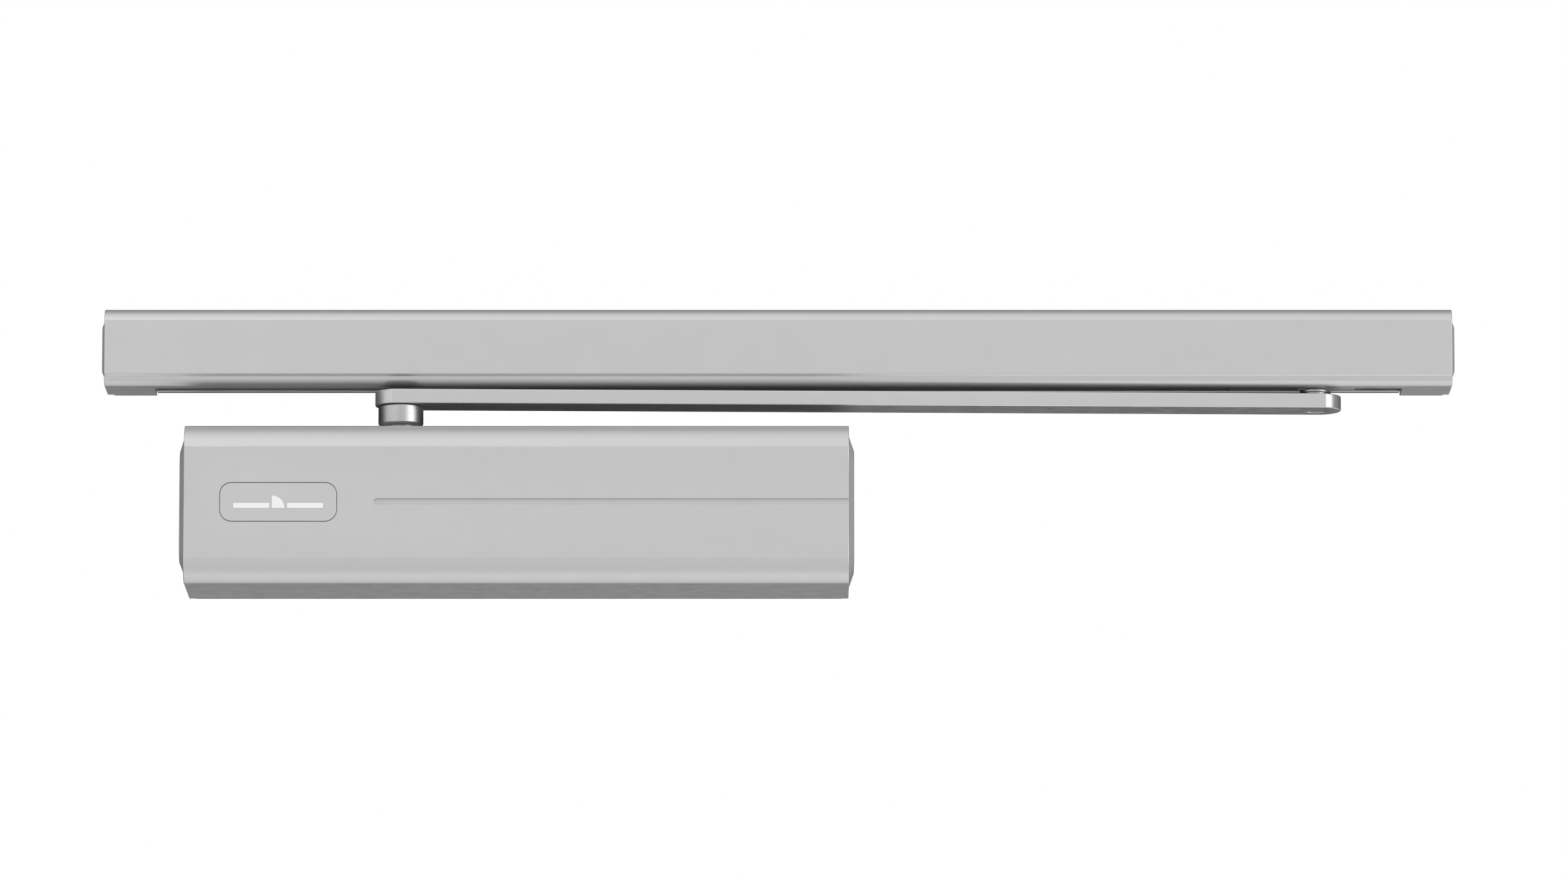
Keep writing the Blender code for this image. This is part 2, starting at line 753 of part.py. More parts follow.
def make_cylinder_plugs():
    centre = (0, SPINDLE_Y, 0)
    blind = (
        (0, PLUG_INNER + PLUG_SOCKET_FLOOR),
        (PLUG_SOCKET_RADIUS, PLUG_INNER + PLUG_SOCKET_FLOOR),
        (PLUG_SOCKET_RADIUS, PLUG_OUTER),
        (PISTON_RADIUS - PLUG_CHAMFER, PLUG_OUTER),
        (PISTON_RADIUS, PLUG_OUTER - PLUG_CHAMFER),
        (PISTON_RADIUS, PLUG_INNER),
        (0, PLUG_INNER),
    )
    left = turned("cylinder_plug_left", "zinc_steel", blind, "X", centre)
    left.matrix_world = left.matrix_world @ Matrix.Rotation(math.pi, 4, "X")
    hole = POWER_SCREW_RADIUS + GAP
    seat = POWER_SCREW_COLLAR + GAP
    seat_floor = PLUG_INNER + POWER_SCREW_COLLAR_LENGTH
    open_plug = (
        (hole, PLUG_OUTER),
        (PISTON_RADIUS - PLUG_CHAMFER, PLUG_OUTER),
        (PISTON_RADIUS, PLUG_OUTER - PLUG_CHAMFER),
        (PISTON_RADIUS, PLUG_INNER),
        (seat, PLUG_INNER),
        (seat, seat_floor),
        (hole, seat_floor),
    )
    turned("cylinder_plug_right", "zinc_steel", open_plug, "X", centre)


def make_bearings():
    spindle = (SPINDLE_X, SPINDLE_Y, 0)
    for name, level in (("upper_bearing", 1), ("lower_bearing", -1)):
        low, high = sorted((level * BEARING_START, level * BEARING_END))
        ring(name, "bright_steel", "Z", spindle, BEARING_OUTER, BEARING_INNER, low, high)
    low = BEARING_END + GAP
    ring("shaft_seal", "rubber", "Z", spindle, BEARING_OUTER, BEARING_INNER, low, SEAL_END)
    cylinder("spindle_cap", "zinc_steel", "Z", spindle, BEARING_OUTER, -SEAL_END, -low)


def make_valves():
    tip_start = GAP - VALVE_BACK
    taper_start = tip_start + VALVE_TIP_LENGTH
    profile = (
        (0, -VALVE_FRONT),
        (VALVE_HEAD_RADIUS, -VALVE_FRONT),
        (VALVE_HEAD_RADIUS, taper_start + VALVE_TAPER_LENGTH),
        (VALVE_TIP_RADIUS, taper_start),
        (VALVE_TIP_RADIUS, tip_start),
        (0, tip_start),
    )
    for name, x in VALVE_X.items():
        valve = turned(name, "brass", profile, "Y", (x, 0, VALVE_Z), SMALL_ROUND)
        low = (x - PAST, VALVE_FRONT - PAST, VALVE_Z - VALVE_SLOT_HALF)
        high = (x + PAST, VALVE_FRONT + VALVE_SLOT_DEPTH, VALVE_Z + VALVE_SLOT_HALF)
        cut(valve, box("cut_slot_" + name, None, low, high))
        carried_by(name + "_axis", (x, 0, VALVE_Z), [valve])


# --- spring side ---


def piston(name, roller_x, towards, end):
    """A round piston, forked round its roller on the side towards the spindle."""
    centre = (0, SPINDLE_Y, 0)
    fork_tip = roller_x - towards * FORK_REACH
    low, high = sorted((fork_tip, end))
    body = cylinder(name, "bright_steel", "X", centre, PISTON_RADIUS, low, high)
    floor = roller_x + towards * FORK_FLOOR
    left, right = sorted((floor, fork_tip - towards * PAST))
    reach = BORE_RADIUS + PAST
    slot_low = (left, SPINDLE_Y - reach, -FORK_HALF_SLOT)
    slot_high = (right, SPINDLE_Y + reach, FORK_HALF_SLOT)
    cut(body, box("cut_fork_" + name, None, slot_low, slot_high))
    axle = (roller_x, SPINDLE_Y, 0)
    hole = ROLLER_PIN_RADIUS + GAP
    cut(body, cylinder("cut_axle_" + name, None, "Z", axle, hole, -reach, reach, SMALL_ROUND))
    return body


def roller_and_pin(prefix, roller_x):
    axle = (roller_x, SPINDLE_Y, 0)
    half = CAM_HALF_THICKNESS
    bore = ROLLER_PIN_RADIUS + GAP
    roller = ring(
        prefix + "_roller", "bright_steel", "Z", axle, ROLLER_RADIUS, bore, -half, half
    )
    pin = cylinder(
        prefix + "_roller_pin",
        "dark_steel",
        "Z",
        axle,
        ROLLER_PIN_RADIUS,
        -ROLLER_PIN_HALF,
        ROLLER_PIN_HALF,
        SMALL_ROUND,
    )
    carried_by(prefix + "_roller_axis", axle, [roller])
    return pin


def make_spring_side():
    body = piston("spring_piston", SPRING_ROLLER_X, 1, SPRING_PISTON_END)
    spigot_end = SPRING_PISTON_END + SPRING_SPIGOT_LENGTH
    spigot = cylinder(
        "join_spigot",
        None,
        "X",
        (0, SPINDLE_Y, 0),
        SPRING_SPIGOT_RADIUS,
        SPRING_PISTON_END - GAP,
        spigot_end,
    )
    join(body, spigot)
    pin = roller_and_pin("spring", SPRING_ROLLER_X)
    carried_by("spring_piston_axis", (SPRING_ROLLER_X, SPINDLE_Y, 0), [body, pin])
    start = SPRING_PISTON_END + GAP
    end = SPRING_PLATE_X - GAP
    coil("main_spring", "dark_steel", SPRING_RADIUS, SPRING_WIRE, SPRING_TURNS, start, end)


def make_power_adjuster():
    centre = (0, SPINDLE_Y, 0)
    end = SPRING_PLATE_X + SPRING_PLATE_THICKNESS
    bore = POWER_SCREW_RADIUS + GAP
    plate = ring(
        "spring_plate", "zinc_steel", "X", centre, PISTON_RADIUS, bore, SPRING_PLATE_X, end
    )
    carried_by("spring_plate_axis", (SPRING_PLATE_X, SPINDLE_Y, 0), [plate])
    outer = PLUG_OUTER - GAP
    collar_end = PLUG_INNER + POWER_SCREW_COLLAR_LENGTH - GAP
    profile = (
        (0, outer - POWER_SCREW_SOCKET_DEPTH),
        (POWER_SCREW_SOCKET_RADIUS, outer - POWER_SCREW_SOCKET_DEPTH),
        (POWER_SCREW_SOCKET_RADIUS, outer),
        (POWER_SCREW_RADIUS, outer),
        (POWER_SCREW_RADIUS, collar_end),
        (POWER_SCREW_COLLAR, collar_end),
        (POWER_SCREW_COLLAR, PLUG_INNER),
        (POWER_SCREW_RADIUS, PLUG_INNER),
        (POWER_SCREW_RADIUS, POWER_SCREW_START),
        (0, POWER_SCREW_START),
    )
    screw = turned("power_adjusting_screw", "dark_steel", profile, "X", centre, SMALL_ROUND)
    carried_by("power_adjusting_screw_axis", (outer, SPINDLE_Y, 0), [screw])


# --- damping side ---


def make_damper_side():
    centre = (0, SPINDLE_Y, 0)
    body = piston("damper_piston", DAMPER_ROLLER_X, -1, DAMPER_PISTON_END)
    groove_radius = PISTON_RADIUS - RING_DEPTH
    low = RING_X - RING_WIDTH / 2
    high = RING_X + RING_WIDTH / 2
    groove = ring(
        "cut_ring_groove", None, "X", centre, PISTON_RADIUS + PAST, groove_radius, low, high
    )
    cut(body, groove)
    seal = ring(
        "damper_piston_ring",
        "nylon",
        "X",
        centre,
        PISTON_RADIUS,
        groove_radius + GAP,
        low + GAP,
        high - GAP,
    )
    pin = roller_and_pin("damper", DAMPER_ROLLER_X)
    carried_by("damper_piston_axis", (DAMPER_ROLLER_X, SPINDLE_Y, 0), [body, pin, seal])
    coil(
        "damper_return_spring",
        "dark_steel",
        RETURN_SPRING_RADIUS,
        RETURN_SPRING_WIRE,
        RETURN_SPRING_TURNS,
        GAP - PLUG_INNER,
        DAMPER_PISTON_END - GAP,
    )


# --- arm: everything that turns with the spindle ---


def make_cam_spindle():
    spindle = (SPINDLE_X, SPINDLE_Y, 0)
    half = CAM_HALF_THICKNESS
    body = extruded("cam_spindle", "bright_steel", [cam_outline()], "Z", -half, half)
    journal = cylinder(
        "join_journal", None, "Z", spindle, JOURNAL_RADIUS, JOURNAL_BOTTOM, JOURNAL_TOP
    )
    outline = toothed_circle((SPINDLE_X, SPINDLE_Y), TOOTH_ROOT, TOOTH_TIP)
    teeth = extruded("join_teeth", None, [outline], "Z", TEETH_BOTTOM, TEETH_TOP)
    join(body, journal, teeth)
    hole = ARM_SCREW_RADIUS + GAP
    depth = ARM_SCREW_END - GAP
    end = TEETH_TOP + PAST
    cut(body, cylinder("cut_spindle_thread", None, "Z", spindle, hole, depth, end, SMALL_ROUND))
    return body


def make_collar():
    spindle = (SPINDLE_X, SPINDLE_Y)
    outline = circle(spindle, COLLAR_RADIUS, COLLAR_SIDES)
    teeth = toothed_circle(spindle, TOOTH_ROOT + TOOTH_GAP, TOOTH_TIP + TOOTH_GAP)
    collar = extruded(
        "arm_hub_collar", "bright_steel", [outline, teeth], "Z", COLLAR_BOTTOM, ARM_BOTTOM - GAP
    )
    inner = COLLAR_RADIUS - COLLAR_CHAMFER - PAST
    outer = COLLAR_RADIUS + PAST
    profile = (
        (outer, COLLAR_BOTTOM + COLLAR_CHAMFER + PAST),
        (outer, COLLAR_BOTTOM - PAST),
        (inner, COLLAR_BOTTOM - PAST),
    )
    centre = (SPINDLE_X, SPINDLE_Y, 0)
    cut(collar, turned("cut_collar_edge", None, profile, "Z", centre, COLLAR_SIDES))
    return collar


def make_arm_bar():
    pin_hole = circle((PIN_X, PIN_Y), PIN_HOLE_RADIUS, 32)
    bar = extruded("arm", "silver_paint", [arm_outline(), pin_hole], "Z", ARM_BOTTOM, ARM_TOP)
    bevel(bar, ARM_CHAMFER)
    shank = ARM_SCREW_RADIUS + GAP
    head = ARM_SCREW_HEAD + GAP
    flare = head - shank
    rim = ARM_TOP - ARM_SCREW_SUNK - ARM_SCREW_RIM
    profile = (
        (0, ARM_TOP + PAST),
        (head, ARM_TOP + PAST),
        (head, rim),
        (shank, rim - flare),
        (shank, ARM_BOTTOM - PAST),
        (0, ARM_BOTTOM - PAST),
    )
    spindle = (SPINDLE_X, SPINDLE_Y, 0)
    cut(bar, turned("cut_countersink", None, profile, "Z", spindle, 32))
    return bar


def make_arm_screw():
    flare = ARM_SCREW_HEAD - ARM_SCREW_RADIUS
    top = ARM_TOP - ARM_SCREW_SUNK
    rim = top - ARM_SCREW_RIM
    profile = (
        (0, top - ARM_SCREW_SOCKET_DEPTH),
        (ARM_SCREW_SOCKET_RADIUS, top - ARM_SCREW_SOCKET_DEPTH),
        (ARM_SCREW_SOCKET_RADIUS, top),
        (ARM_SCREW_HEAD, top),
        (ARM_SCREW_HEAD, rim),
        (ARM_SCREW_RADIUS, rim - flare),
        (ARM_SCREW_RADIUS, ARM_SCREW_END),
        (0, ARM_SCREW_END),
    )
    spindle = (SPINDLE_X, SPINDLE_Y, 0)
    return turned("arm_fixing_screw", "dark_steel", profile, "Z", spindle, 32)


def make_slide_pin():
    disc_bottom = ARM_TOP + GAP
    flange_bottom = PIN_DISC_TOP - PIN_FLANGE_THICKNESS
    groove_top = PIN_TOP - CLIP_GROOVE_DEPTH
    groove_bottom = groove_top - CLIP_THICKNESS - 2 * GAP
    groove_radius = PIN_RADIUS - CLIP_GROOVE_DEPTH
    profile = (
        (0, PIN_TOP),
        (PIN_RADIUS, PIN_TOP),
        (PIN_RADIUS, groove_top),
        (groove_radius, groove_top),
        (groove_radius, groove_bottom),
        (PIN_RADIUS, groove_bottom),
        (PIN_RADIUS, PIN_DISC_TOP),
        (PIN_FLANGE_RADIUS - PIN_EDGE, PIN_DISC_TOP),
        (PIN_FLANGE_RADIUS, PIN_DISC_TOP - PIN_EDGE),
        (PIN_FLANGE_RADIUS, flange_bottom),
        (PIN_DISC_RADIUS, flange_bottom),
        (PIN_DISC_RADIUS, disc_bottom),
        (PIN_HEAD_RADIUS, disc_bottom),
        (PIN_HEAD_RADIUS, PIN_HEAD_BOTTOM),
        (0, PIN_HEAD_BOTTOM),
    )
    pin = turned("slide_pin", "bright_steel", profile, "Z", (PIN_X, PIN_Y, 0))
    clip_bottom = groove_bottom + GAP
    clip = ring(
        "slide_pin_clip",
        "dark_steel",
        "Z",
        (PIN_X, PIN_Y, 0),
        CLIP_RADIUS,
        groove_radius + GAP,
        clip_bottom,
        clip_bottom + CLIP_THICKNESS,
        28,
    )
    return [pin, clip]


def make_arm():
    pieces = [make_cam_spindle(), make_collar(), make_arm_bar(), make_arm_screw()]
    carried_by("arm_axis", (SPINDLE_X, SPINDLE_Y, ARM_BOTTOM), pieces + make_slide_pin())


# --- slide block ---


def make_slide_block():
    """The glider: a bar inside the track, a neck in its slot and a tail that shows below."""
    left = PIN_X + BLOCK_LEFT
    right = PIN_X + BLOCK_RIGHT
    inner_low = TRACK_FRONT_BOTTOM + TRACK_WALL + GAP
    inner_front = TRACK_FRONT + TRACK_WALL + GAP
    inner_back = -TRACK_WALL - GAP
    front = SLOT_FRONT + GAP
    back = SLOT_BACK - GAP
    overlap = inner_low + BLOCK_OVERLAP
    top = PIN_TOP - BLOCK_HEADROOM
    block = box("slide_block", "nylon", (left, inner_front, inner_low), (right, inner_back, top))
    neck_bottom = RAIL_BOTTOM + RAIL_COVER_WALL + GAP
    neck = box("join_neck", None, (left, front, neck_bottom), (right, back, overlap))
    tail_low = (left, BLOCK_TAIL_FRONT, BLOCK_TAIL_BOTTOM)
    tail_high = (PIN_X + BLOCK_TAIL_RIGHT, back - 2 * GAP, overlap)
    tail = box("join_tail", None, tail_low, tail_high)
    stop_low = (right - BLOCK_OVERLAP, front + BLOCK_STOP, neck_bottom)
    stop_high = (right + BLOCK_STOP, back - BLOCK_STOP, overlap + BLOCK_STOP)
    stop = box("join_stop", None, stop_low, stop_high)
    join(block, neck, tail, stop)
    bore = cylinder(
        "cut_block_bore", None, "Z", (PIN_X, PIN_Y, 0), PIN_RADIUS + GAP, ARM_TOP, PIN_TOP
    )
    cut(block, bore)
    carried_by("slide_block_axis", (PIN_X, PIN_Y, ARM_TOP), [block])


# --- guide rail ---


def track_outline():
    """The track's section in Y and Z: a channel that is open below, under a closed chamber."""
    wall = TRACK_WALL
    lip_top = TRACK_FRONT_BOTTOM + wall
    outer = [
        (0, TRACK_TOP),
        (TRACK_FRONT, TRACK_TOP),
        (TRACK_FRONT, TRACK_FRONT_BOTTOM),
        (SLOT_FRONT, TRACK_FRONT_BOTTOM),
        (SLOT_FRONT, lip_top),
        (TRACK_FRONT + wall, lip_top),
        (TRACK_FRONT + wall, TRACK_WEB),
        (-wall, TRACK_WEB),
        (-wall, lip_top),
        (SLOT_BACK, lip_top),
        (SLOT_BACK, TRACK_REAR_BOTTOM),
        (0, TRACK_REAR_BOTTOM),
    ]
    chamber = rectangle(TRACK_FRONT + wall, -wall, TRACK_WEB + wall, TRACK_TOP - wall)
    return [outer, chamber]


def make_rail_cover():
    outer = [(0, RAIL_TOP)] + rail_outline(0, 0)
    inner = [(0, RAIL_TOP - RAIL_COVER_WALL)] + rail_outline(RAIL_COVER_WALL, 0)
    shell = outer + list(reversed(inner))
    cover = extruded("rail_cover", "silver_paint", [shell], "X", RAIL_LEFT, RAIL_RIGHT)
    low = (RAIL_LEFT + RAIL_END_LENGTH, RAIL_LIP_BACK, RAIL_BOTTOM - PAST)
    high = (RAIL_RIGHT - RAIL_END_LENGTH, PAST, RAIL_BOTTOM + RAIL_COVER_WALL + 1)
    cut(cover, box("cut_rail_window", None, low, high))
    return cover


def make_rail_caps():
    inset = RAIL_COVER_WALL + GAP
    outline = [(-GAP, RAIL_TOP - inset)] + rail_outline(inset, -GAP)
    caps = []
    for side, end in ((-1, RAIL_LEFT), (1, RAIL_RIGHT)):
        cap = padded_cap(
            "rail_end_cap_" + side_name(side),
            "grey_plastic",
            outline,
            end,
            side,
            RAIL_CAP_THICKNESS,
            RAIL_CAP_RIM,
            RAIL_CAP_BEVEL,
            RAIL_CAP_PROUD,
        )
        caps.append(cap)
    return caps


def make_end_fitting(side):
    """The block that takes the rail's fixing screw, its tongue in the track, and its buffer."""
    track_end = TRACK_RIGHT if side > 0 else TRACK_LEFT
    outer = track_end + side * (GAP + END_BLOCK_LENGTH)
    inner = track_end + side * GAP
    low_x, high_x = sorted((inner, outer))
    bottom = RAIL_BOTTOM + RAIL_COVER_WALL + GAP
    block = box(
        "rail_end_block_" + side_name(side),
        "cast_aluminium",
        (low_x, END_BLOCK_FRONT, bottom),
        (high_x, 0, TRACK_TOP - 1),
    )
    tongue_front = TRACK_FRONT + TRACK_WALL + GAP
    tongue_back = -TRACK_WALL - GAP
    tongue_bottom = TRACK_FRONT_BOTTOM + TRACK_WALL + GAP
    tongue_top = TRACK_WEB - GAP
    tip = track_end - side * TONGUE_LENGTH
    left, right = sorted((tip, (inner + outer) / 2))
    tongue = box(
        "join_tongue_" + side_name(side),
        None,
        (left, tongue_front, tongue_bottom),
        (right, tongue_back, tongue_top),
    )
    join(block, tongue)
    shank = END_SCREW_RADIUS
    head = END_SCREW_HEAD_RADIUS
    mouth = PAST - END_BLOCK_FRONT
    profile = (
        (0, mouth),
        (head, mouth),
        (head, END_SCREW_FLOOR),
        (shank, END_SCREW_FLOOR - head + shank),
        (shank, -PAST),
        (0, -PAST),
    )
    centre = ((inner + outer) / 2, 0, END_SCREW_Z)
    hole = turned("cut_end_screw_" + side_name(side), None, profile, "Y", centre, SMALL_ROUND)
    cut(block, hole)
    left, right = sorted((tip - side * GAP, tip - side * (GAP + BUFFER_LENGTH)))
    buffer = box(
        "rail_buffer_" + side_name(side),
        "rubber",
        (left, tongue_front + BUFFER_INSET, tongue_bottom),
        (right, tongue_back - BUFFER_INSET, tongue_top - BUFFER_INSET),
    )
    bevel(buffer, BUFFER_EDGE)
    return [block, buffer]


def make_rail():
    track = extruded(
        "guide_rail", "cast_aluminium", track_outline(), "X", TRACK_LEFT, TRACK_RIGHT
    )
    pieces = [track, make_rail_cover()] + make_rail_caps()
    pieces += make_end_fitting(-1) + make_end_fitting(1)
    carried_by("rail_axis", (PIN_X, PIN_Y, TRACK_WEB), pieces)


def make_door_closer():
    make_mounting_plate()
    make_housing()
    make_housing_screws()
    make_cover()
    make_badge()
    make_cover_caps()
    make_cylinder_plugs()
    make_bearings()
    make_valves()
    make_spring_side()
    make_power_adjuster()
    make_damper_side()
    make_arm()
    make_slide_block()
    make_rail()


make_door_closer()
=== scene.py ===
"""The door closer's finished look: its pieces, materials, camera, light and floor.

Outlines and heights are in millimetres and the geometry is built in metres. Places come from
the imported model's boxes and joints. +X is right, +Y into the door and +Z up.
"""

import json
import math

import bmesh
import bpy
from mathutils import Matrix, Vector
from mathutils.geometry import tessellate_polygon


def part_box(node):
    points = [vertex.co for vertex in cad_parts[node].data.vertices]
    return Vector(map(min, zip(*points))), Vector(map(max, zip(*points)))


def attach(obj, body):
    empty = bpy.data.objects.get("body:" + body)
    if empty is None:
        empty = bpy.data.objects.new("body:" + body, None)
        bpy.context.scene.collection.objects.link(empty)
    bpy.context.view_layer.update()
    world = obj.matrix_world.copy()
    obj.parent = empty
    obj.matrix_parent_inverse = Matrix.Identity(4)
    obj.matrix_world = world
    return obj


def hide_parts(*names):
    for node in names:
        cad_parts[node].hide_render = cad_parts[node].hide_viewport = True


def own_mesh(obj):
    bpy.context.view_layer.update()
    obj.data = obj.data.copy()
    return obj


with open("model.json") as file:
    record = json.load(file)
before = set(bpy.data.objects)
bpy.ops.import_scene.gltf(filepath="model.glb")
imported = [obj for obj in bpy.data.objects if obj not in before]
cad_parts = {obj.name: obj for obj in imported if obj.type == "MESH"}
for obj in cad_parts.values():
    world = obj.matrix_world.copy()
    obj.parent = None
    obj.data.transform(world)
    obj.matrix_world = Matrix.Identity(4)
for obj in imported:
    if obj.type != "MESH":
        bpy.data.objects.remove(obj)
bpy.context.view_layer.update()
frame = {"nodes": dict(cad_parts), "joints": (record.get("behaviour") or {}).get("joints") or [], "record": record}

MM = 0.001
WELD = 0.000001
PAST = 3.0  # how far a cutting tool reaches past the surface that it cuts
THROUGH = 1.0  # the same for the tools that cut a thin sheet
KEPT_OPEN = 0.98  # share of a corner's radius, so that its outline never closes to a point
CLEAR_CORNER = math.radians(25)
SMOOTH_ANGLE = math.radians(32)
FINE = 96  # sides of a large round piece
SMALL = 48
ROUND_STEPS = 24

# --- closer body ---
COVER_WALL = 1.8
SHOULDER_DEPTH = 7.4
SHOULDER_HEIGHT = 8.9
UPPER_TURN = 70.0  # degrees of the shoulder's ellipse: less than 90 leaves a crease at the flat
LOWER_TURN = 84.0
SHOULDER_STEPS = 22
SHELL_EDGE = 0.5  # rounding of the back edges of both covers
CREASE_EDGE = 0.12
COVER_EDGE = 0.35  # rounding of the cover's ends
CAP_FIT = 0.3  # clearance of the caps and the badge
CAP_PROUD = 2.0
CAP_THICKNESS = 2.5
CAP_RIM = 1.5
CAP_BEVEL = 5.2
CAP_FLAT = 1.2  # how far in the top of a cap's pad is drawn as flat before it is closed
CAP_TAPER = 0.5
CAP_EDGE = 0.9
GROOVE_HALF = 1.3
GROOVE_DEPTH = 1.0
GROOVE_LEFT = -53.6
GROOVE_FILLET = ((0.35, 0.0), (0.1, 0.08), (0.0, 0.3))  # inset, and height above its floor
LIP = 0.12  # rounding where the groove and the recess meet the front
BADGE_CORNER = 4.2
BADGE_EDGE = 0.15
DEVICE_HALF = 16.9  # half its width
DEVICE_GAP = 3.3  # from its middle to each wall
DEVICE_WALL = 2.0
DEVICE_SWING = 4.8
DEVICE_RAISED = 0.25
DEVICE_EDGE = 0.1
DEVICE_CORNER = 0.3
OPENING_RADIUS = 8.5
OPENING_DEPTH = 12.0
OPENING_FLARE = 0.3
NOTCH = (2.6, 1.2)  # at the back of the underside, along X and Y
NOTCH_CORNER = 0.3
PLATE_CORNER = 4.0
PLATE_EDGE = 0.4
PLATE_HOLES = ((88.0, 20.5, 2.7), (106.0, 20.5, 2.8))  # X, Z and radius of one quarter's holes

# --- arm ---
ARM_HALF_WIDTH = 9.2
ARM_END_RADIUS = 9.7
ARM_END_STEPS = 40
ARM_EDGE = 0.45
PIN_HOLE_RADIUS = 4.7
HOLE_EDGE = 0.25
TEETH = 36
TOOTH_ROOT = 6.0
TOOTH_TIP = 6.5
TOOTH_FIT = 0.35
JOURNAL_RADIUS = 7.0
JOURNAL_TOP = 27.5
SPINDLE_BORE_RADIUS = 3.0
SPINDLE_BORE_DEPTH = 13.8
BORE_FIT = 0.05  # how much wider the bore is where the teeth stand on the journal
TEETH_OVERLAP = 0.7
TEETH_EDGE = 0.3
SPINDLE_EDGE = 0.4
CAM_HALF = 7.0  # half the cam's thickness
CAM_SMALL = 14.6  # from the spindle's axis to a roller's, at rest
CAM_RISE = 2.8  # per radian
CAM_REACH = 6.8  # a roller's radius and its clearance
CAM_SAMPLES = 1440
CAM_POINTS = 180
SCREW_RADIUS = 2.7
SCREW_HEAD = 6.0
SCREW_RIM = 0.3
SCREW_EDGE = 0.25
SCREW_FIT = 0.3
SCREW_SUNK = 0.5
SOCKET_RADIUS = 2.3
SOCKET_DEPTH = 2.2
SOCKET_RIM = ((0.0, -0.2), (-0.3, 0.1))  # inset, and height above the head
COLLAR_CHAMFER = 0.9
COLLAR_BLEND = ((0.1, -0.1), (0.03, 0.0), (0.0, 0.15))  # inset, and height above the chamfer
COLLAR_TOP = ((0.0, 0.25), (0.08, 0.08), (0.25, 0.0))  # inset, and depth below the top
PIN_RADIUS = 3.3
PIN_SHANK_RADIUS = 4.4
PIN_DISC_RADIUS = 4.9
PIN_FLANGE_RADIUS = 5.9
PIN_FLANGE = (46.8, 47.8)  # its bottom and top
PIN_FIT = 0.3
PIN_EDGE = 0.22
CLIP_GROOVE = (0.6, 0.6, 1.4)  # below the pin's end, its depth and its height

# --- main spring ---
SPRING_WIRE = 2.3  # radius
SPRING_TURNS = 10
SPRING_STEPS = 36
SPRING_SIDES = 16

# --- slide block ---
SLIDE_FIT = 0.3  # clearance of the block and the end fittings in the rail
BLOCK_RIGHT = 15.6  # from the pin's axis
BLOCK_EDGE = 0.8
BLOCK_OVERLAP = 3.0  # how far its lower parts reach up into the glider
BLOCK_BORE = (3.6, 40.0, 80.0)  # radius, bottom and top
NECK_INSET = 0.1
NECK_EDGE = 0.3
TAIL_FRONT = -9.5
TAIL_RIGHT = -6.3  # from the pin's axis
TAIL_INSET = (0.2, 0.6)  # at its left end and its back
TAIL_EDGE = 0.4
STOP_INSET = 2.6  # from the neck's front and back
STOP_RISE = 2.6
STOP_ROOT = 2.0  # how far it reaches into the glider

# --- guide rail ---
RAIL_WALL = 1.3
RAIL_SHOULDER_DEPTH = 4.5
RAIL_SHOULDER_HEIGHT = 4.5
RAIL_FLAT_BOTTOM = 52.6
RAIL_STEP_BOTTOM = 51.1
RAIL_STEP_DEPTH = 0.9
RAIL_FOOT_DEPTH = 3.7
RAIL_EDGE = 0.3
STEP_STEPS = 10
FOOT_STEPS = 14
WINDOW_FRONT = -17.7
WINDOW_FROM_END = 18.7
WINDOW_CORNER = 1.0
WINDOW_EDGE = 0.2
WINDOW_BACK = 8.0
RAIL_NOTCH = (2.5, 2.6)
RAIL_CAP_PROUD = 1.1
RAIL_CAP_THICKNESS = 2.2
RAIL_CAP_RIM = 1.9
RAIL_CAP_BEVEL = 2.4
TRACK_WALL = 2.0
TRACK_WEB = 63.1
SLOT_FRONT = -20.0
SLOT_BACK = -4.0
TRACK_FRONT_BOTTOM = 50.2
TRACK_CORNER = 0.4
TRACK_EDGE = 0.12
CHAMBER_CORNER = 0.8
END_BLOCK_EDGE = 0.3
TONGUE_EDGE = 0.5
TONGUE_OVERLAP = 1.0
BUFFER_EDGE = 1.0
END_HOLE_Z = 63.0
END_HOLE = ((0, 40), (5.3, 40), (5.0, 8), (2.7, 5.7), (2.7, 0.3), (3.0, 0), (3.0, -5), (0, -5))

# --- carried-over pieces ---
REFINED_WELD = 0.00001
REFINED_EDGE = 0.15
REFINED_ANGLE = math.radians(40)

# --- camera, light and floor, in metres ---
CAMERA_PLACE = (0.10056, -4.18551, -0.62256)
CAMERA_TILT = 8.871  # degrees upwards
CAMERA_SENSOR = 36.0
CAMERA_LENS = 255.81
CAMERA_REACH = 100.0
AMBIENT = 0.01
SKY = (  # direction, where its edge starts and ends as a cosine, and brightness
    ((-0.1, -1, 0), -0.05, 0.4, 0.76),
    ((0.15, -0.35, 1), 0.35, 0.95, 0.37),
    ((0.84, -0.54, 0.08), 0.89, 0.97, 2.2),
    ((-0.8, -0.6, 0.08), 0.7, 0.95, 0.25),
    ((0.4, 0.3, -1), 0.5, 0.95, 1.1),
)
KEY_PLACE = (-1.2, -2.0, 1.8)
KEY_SIZE = 0.8
KEY_POWER = 8
FLOOR_HEIGHT = -4.0
FLOOR_RADIUS = 30.0
FLOOR_SIDES = 64
FLOOR_GLOW = 0.25

BODIES = frame["record"]["behaviour"]["bodies"]
BODY_OF = {node: body for body, nodes in BODIES.items() for node in nodes}
SLOT_OF = {part["node"]: part["material_slot"] for part in frame["record"]["subparts"]}
JOINT = {joint["name"]: joint for joint in frame["joints"]}


def corners(node):
    low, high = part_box(node)
    return low / MM, high / MM


BODY_LOW, BODY_HIGH = corners("body_cover")
RAIL_LOW, RAIL_HIGH = corners("rail_cover")
ARM_LOW, ARM_HIGH = corners("arm")
SPINDLE = Vector(JOINT["arm_swing"]["pos_m"]).to_2d() / MM
PIN = Vector(JOINT["block_pivot"]["pos_m"]).to_2d() / MM


# --- outlines ---


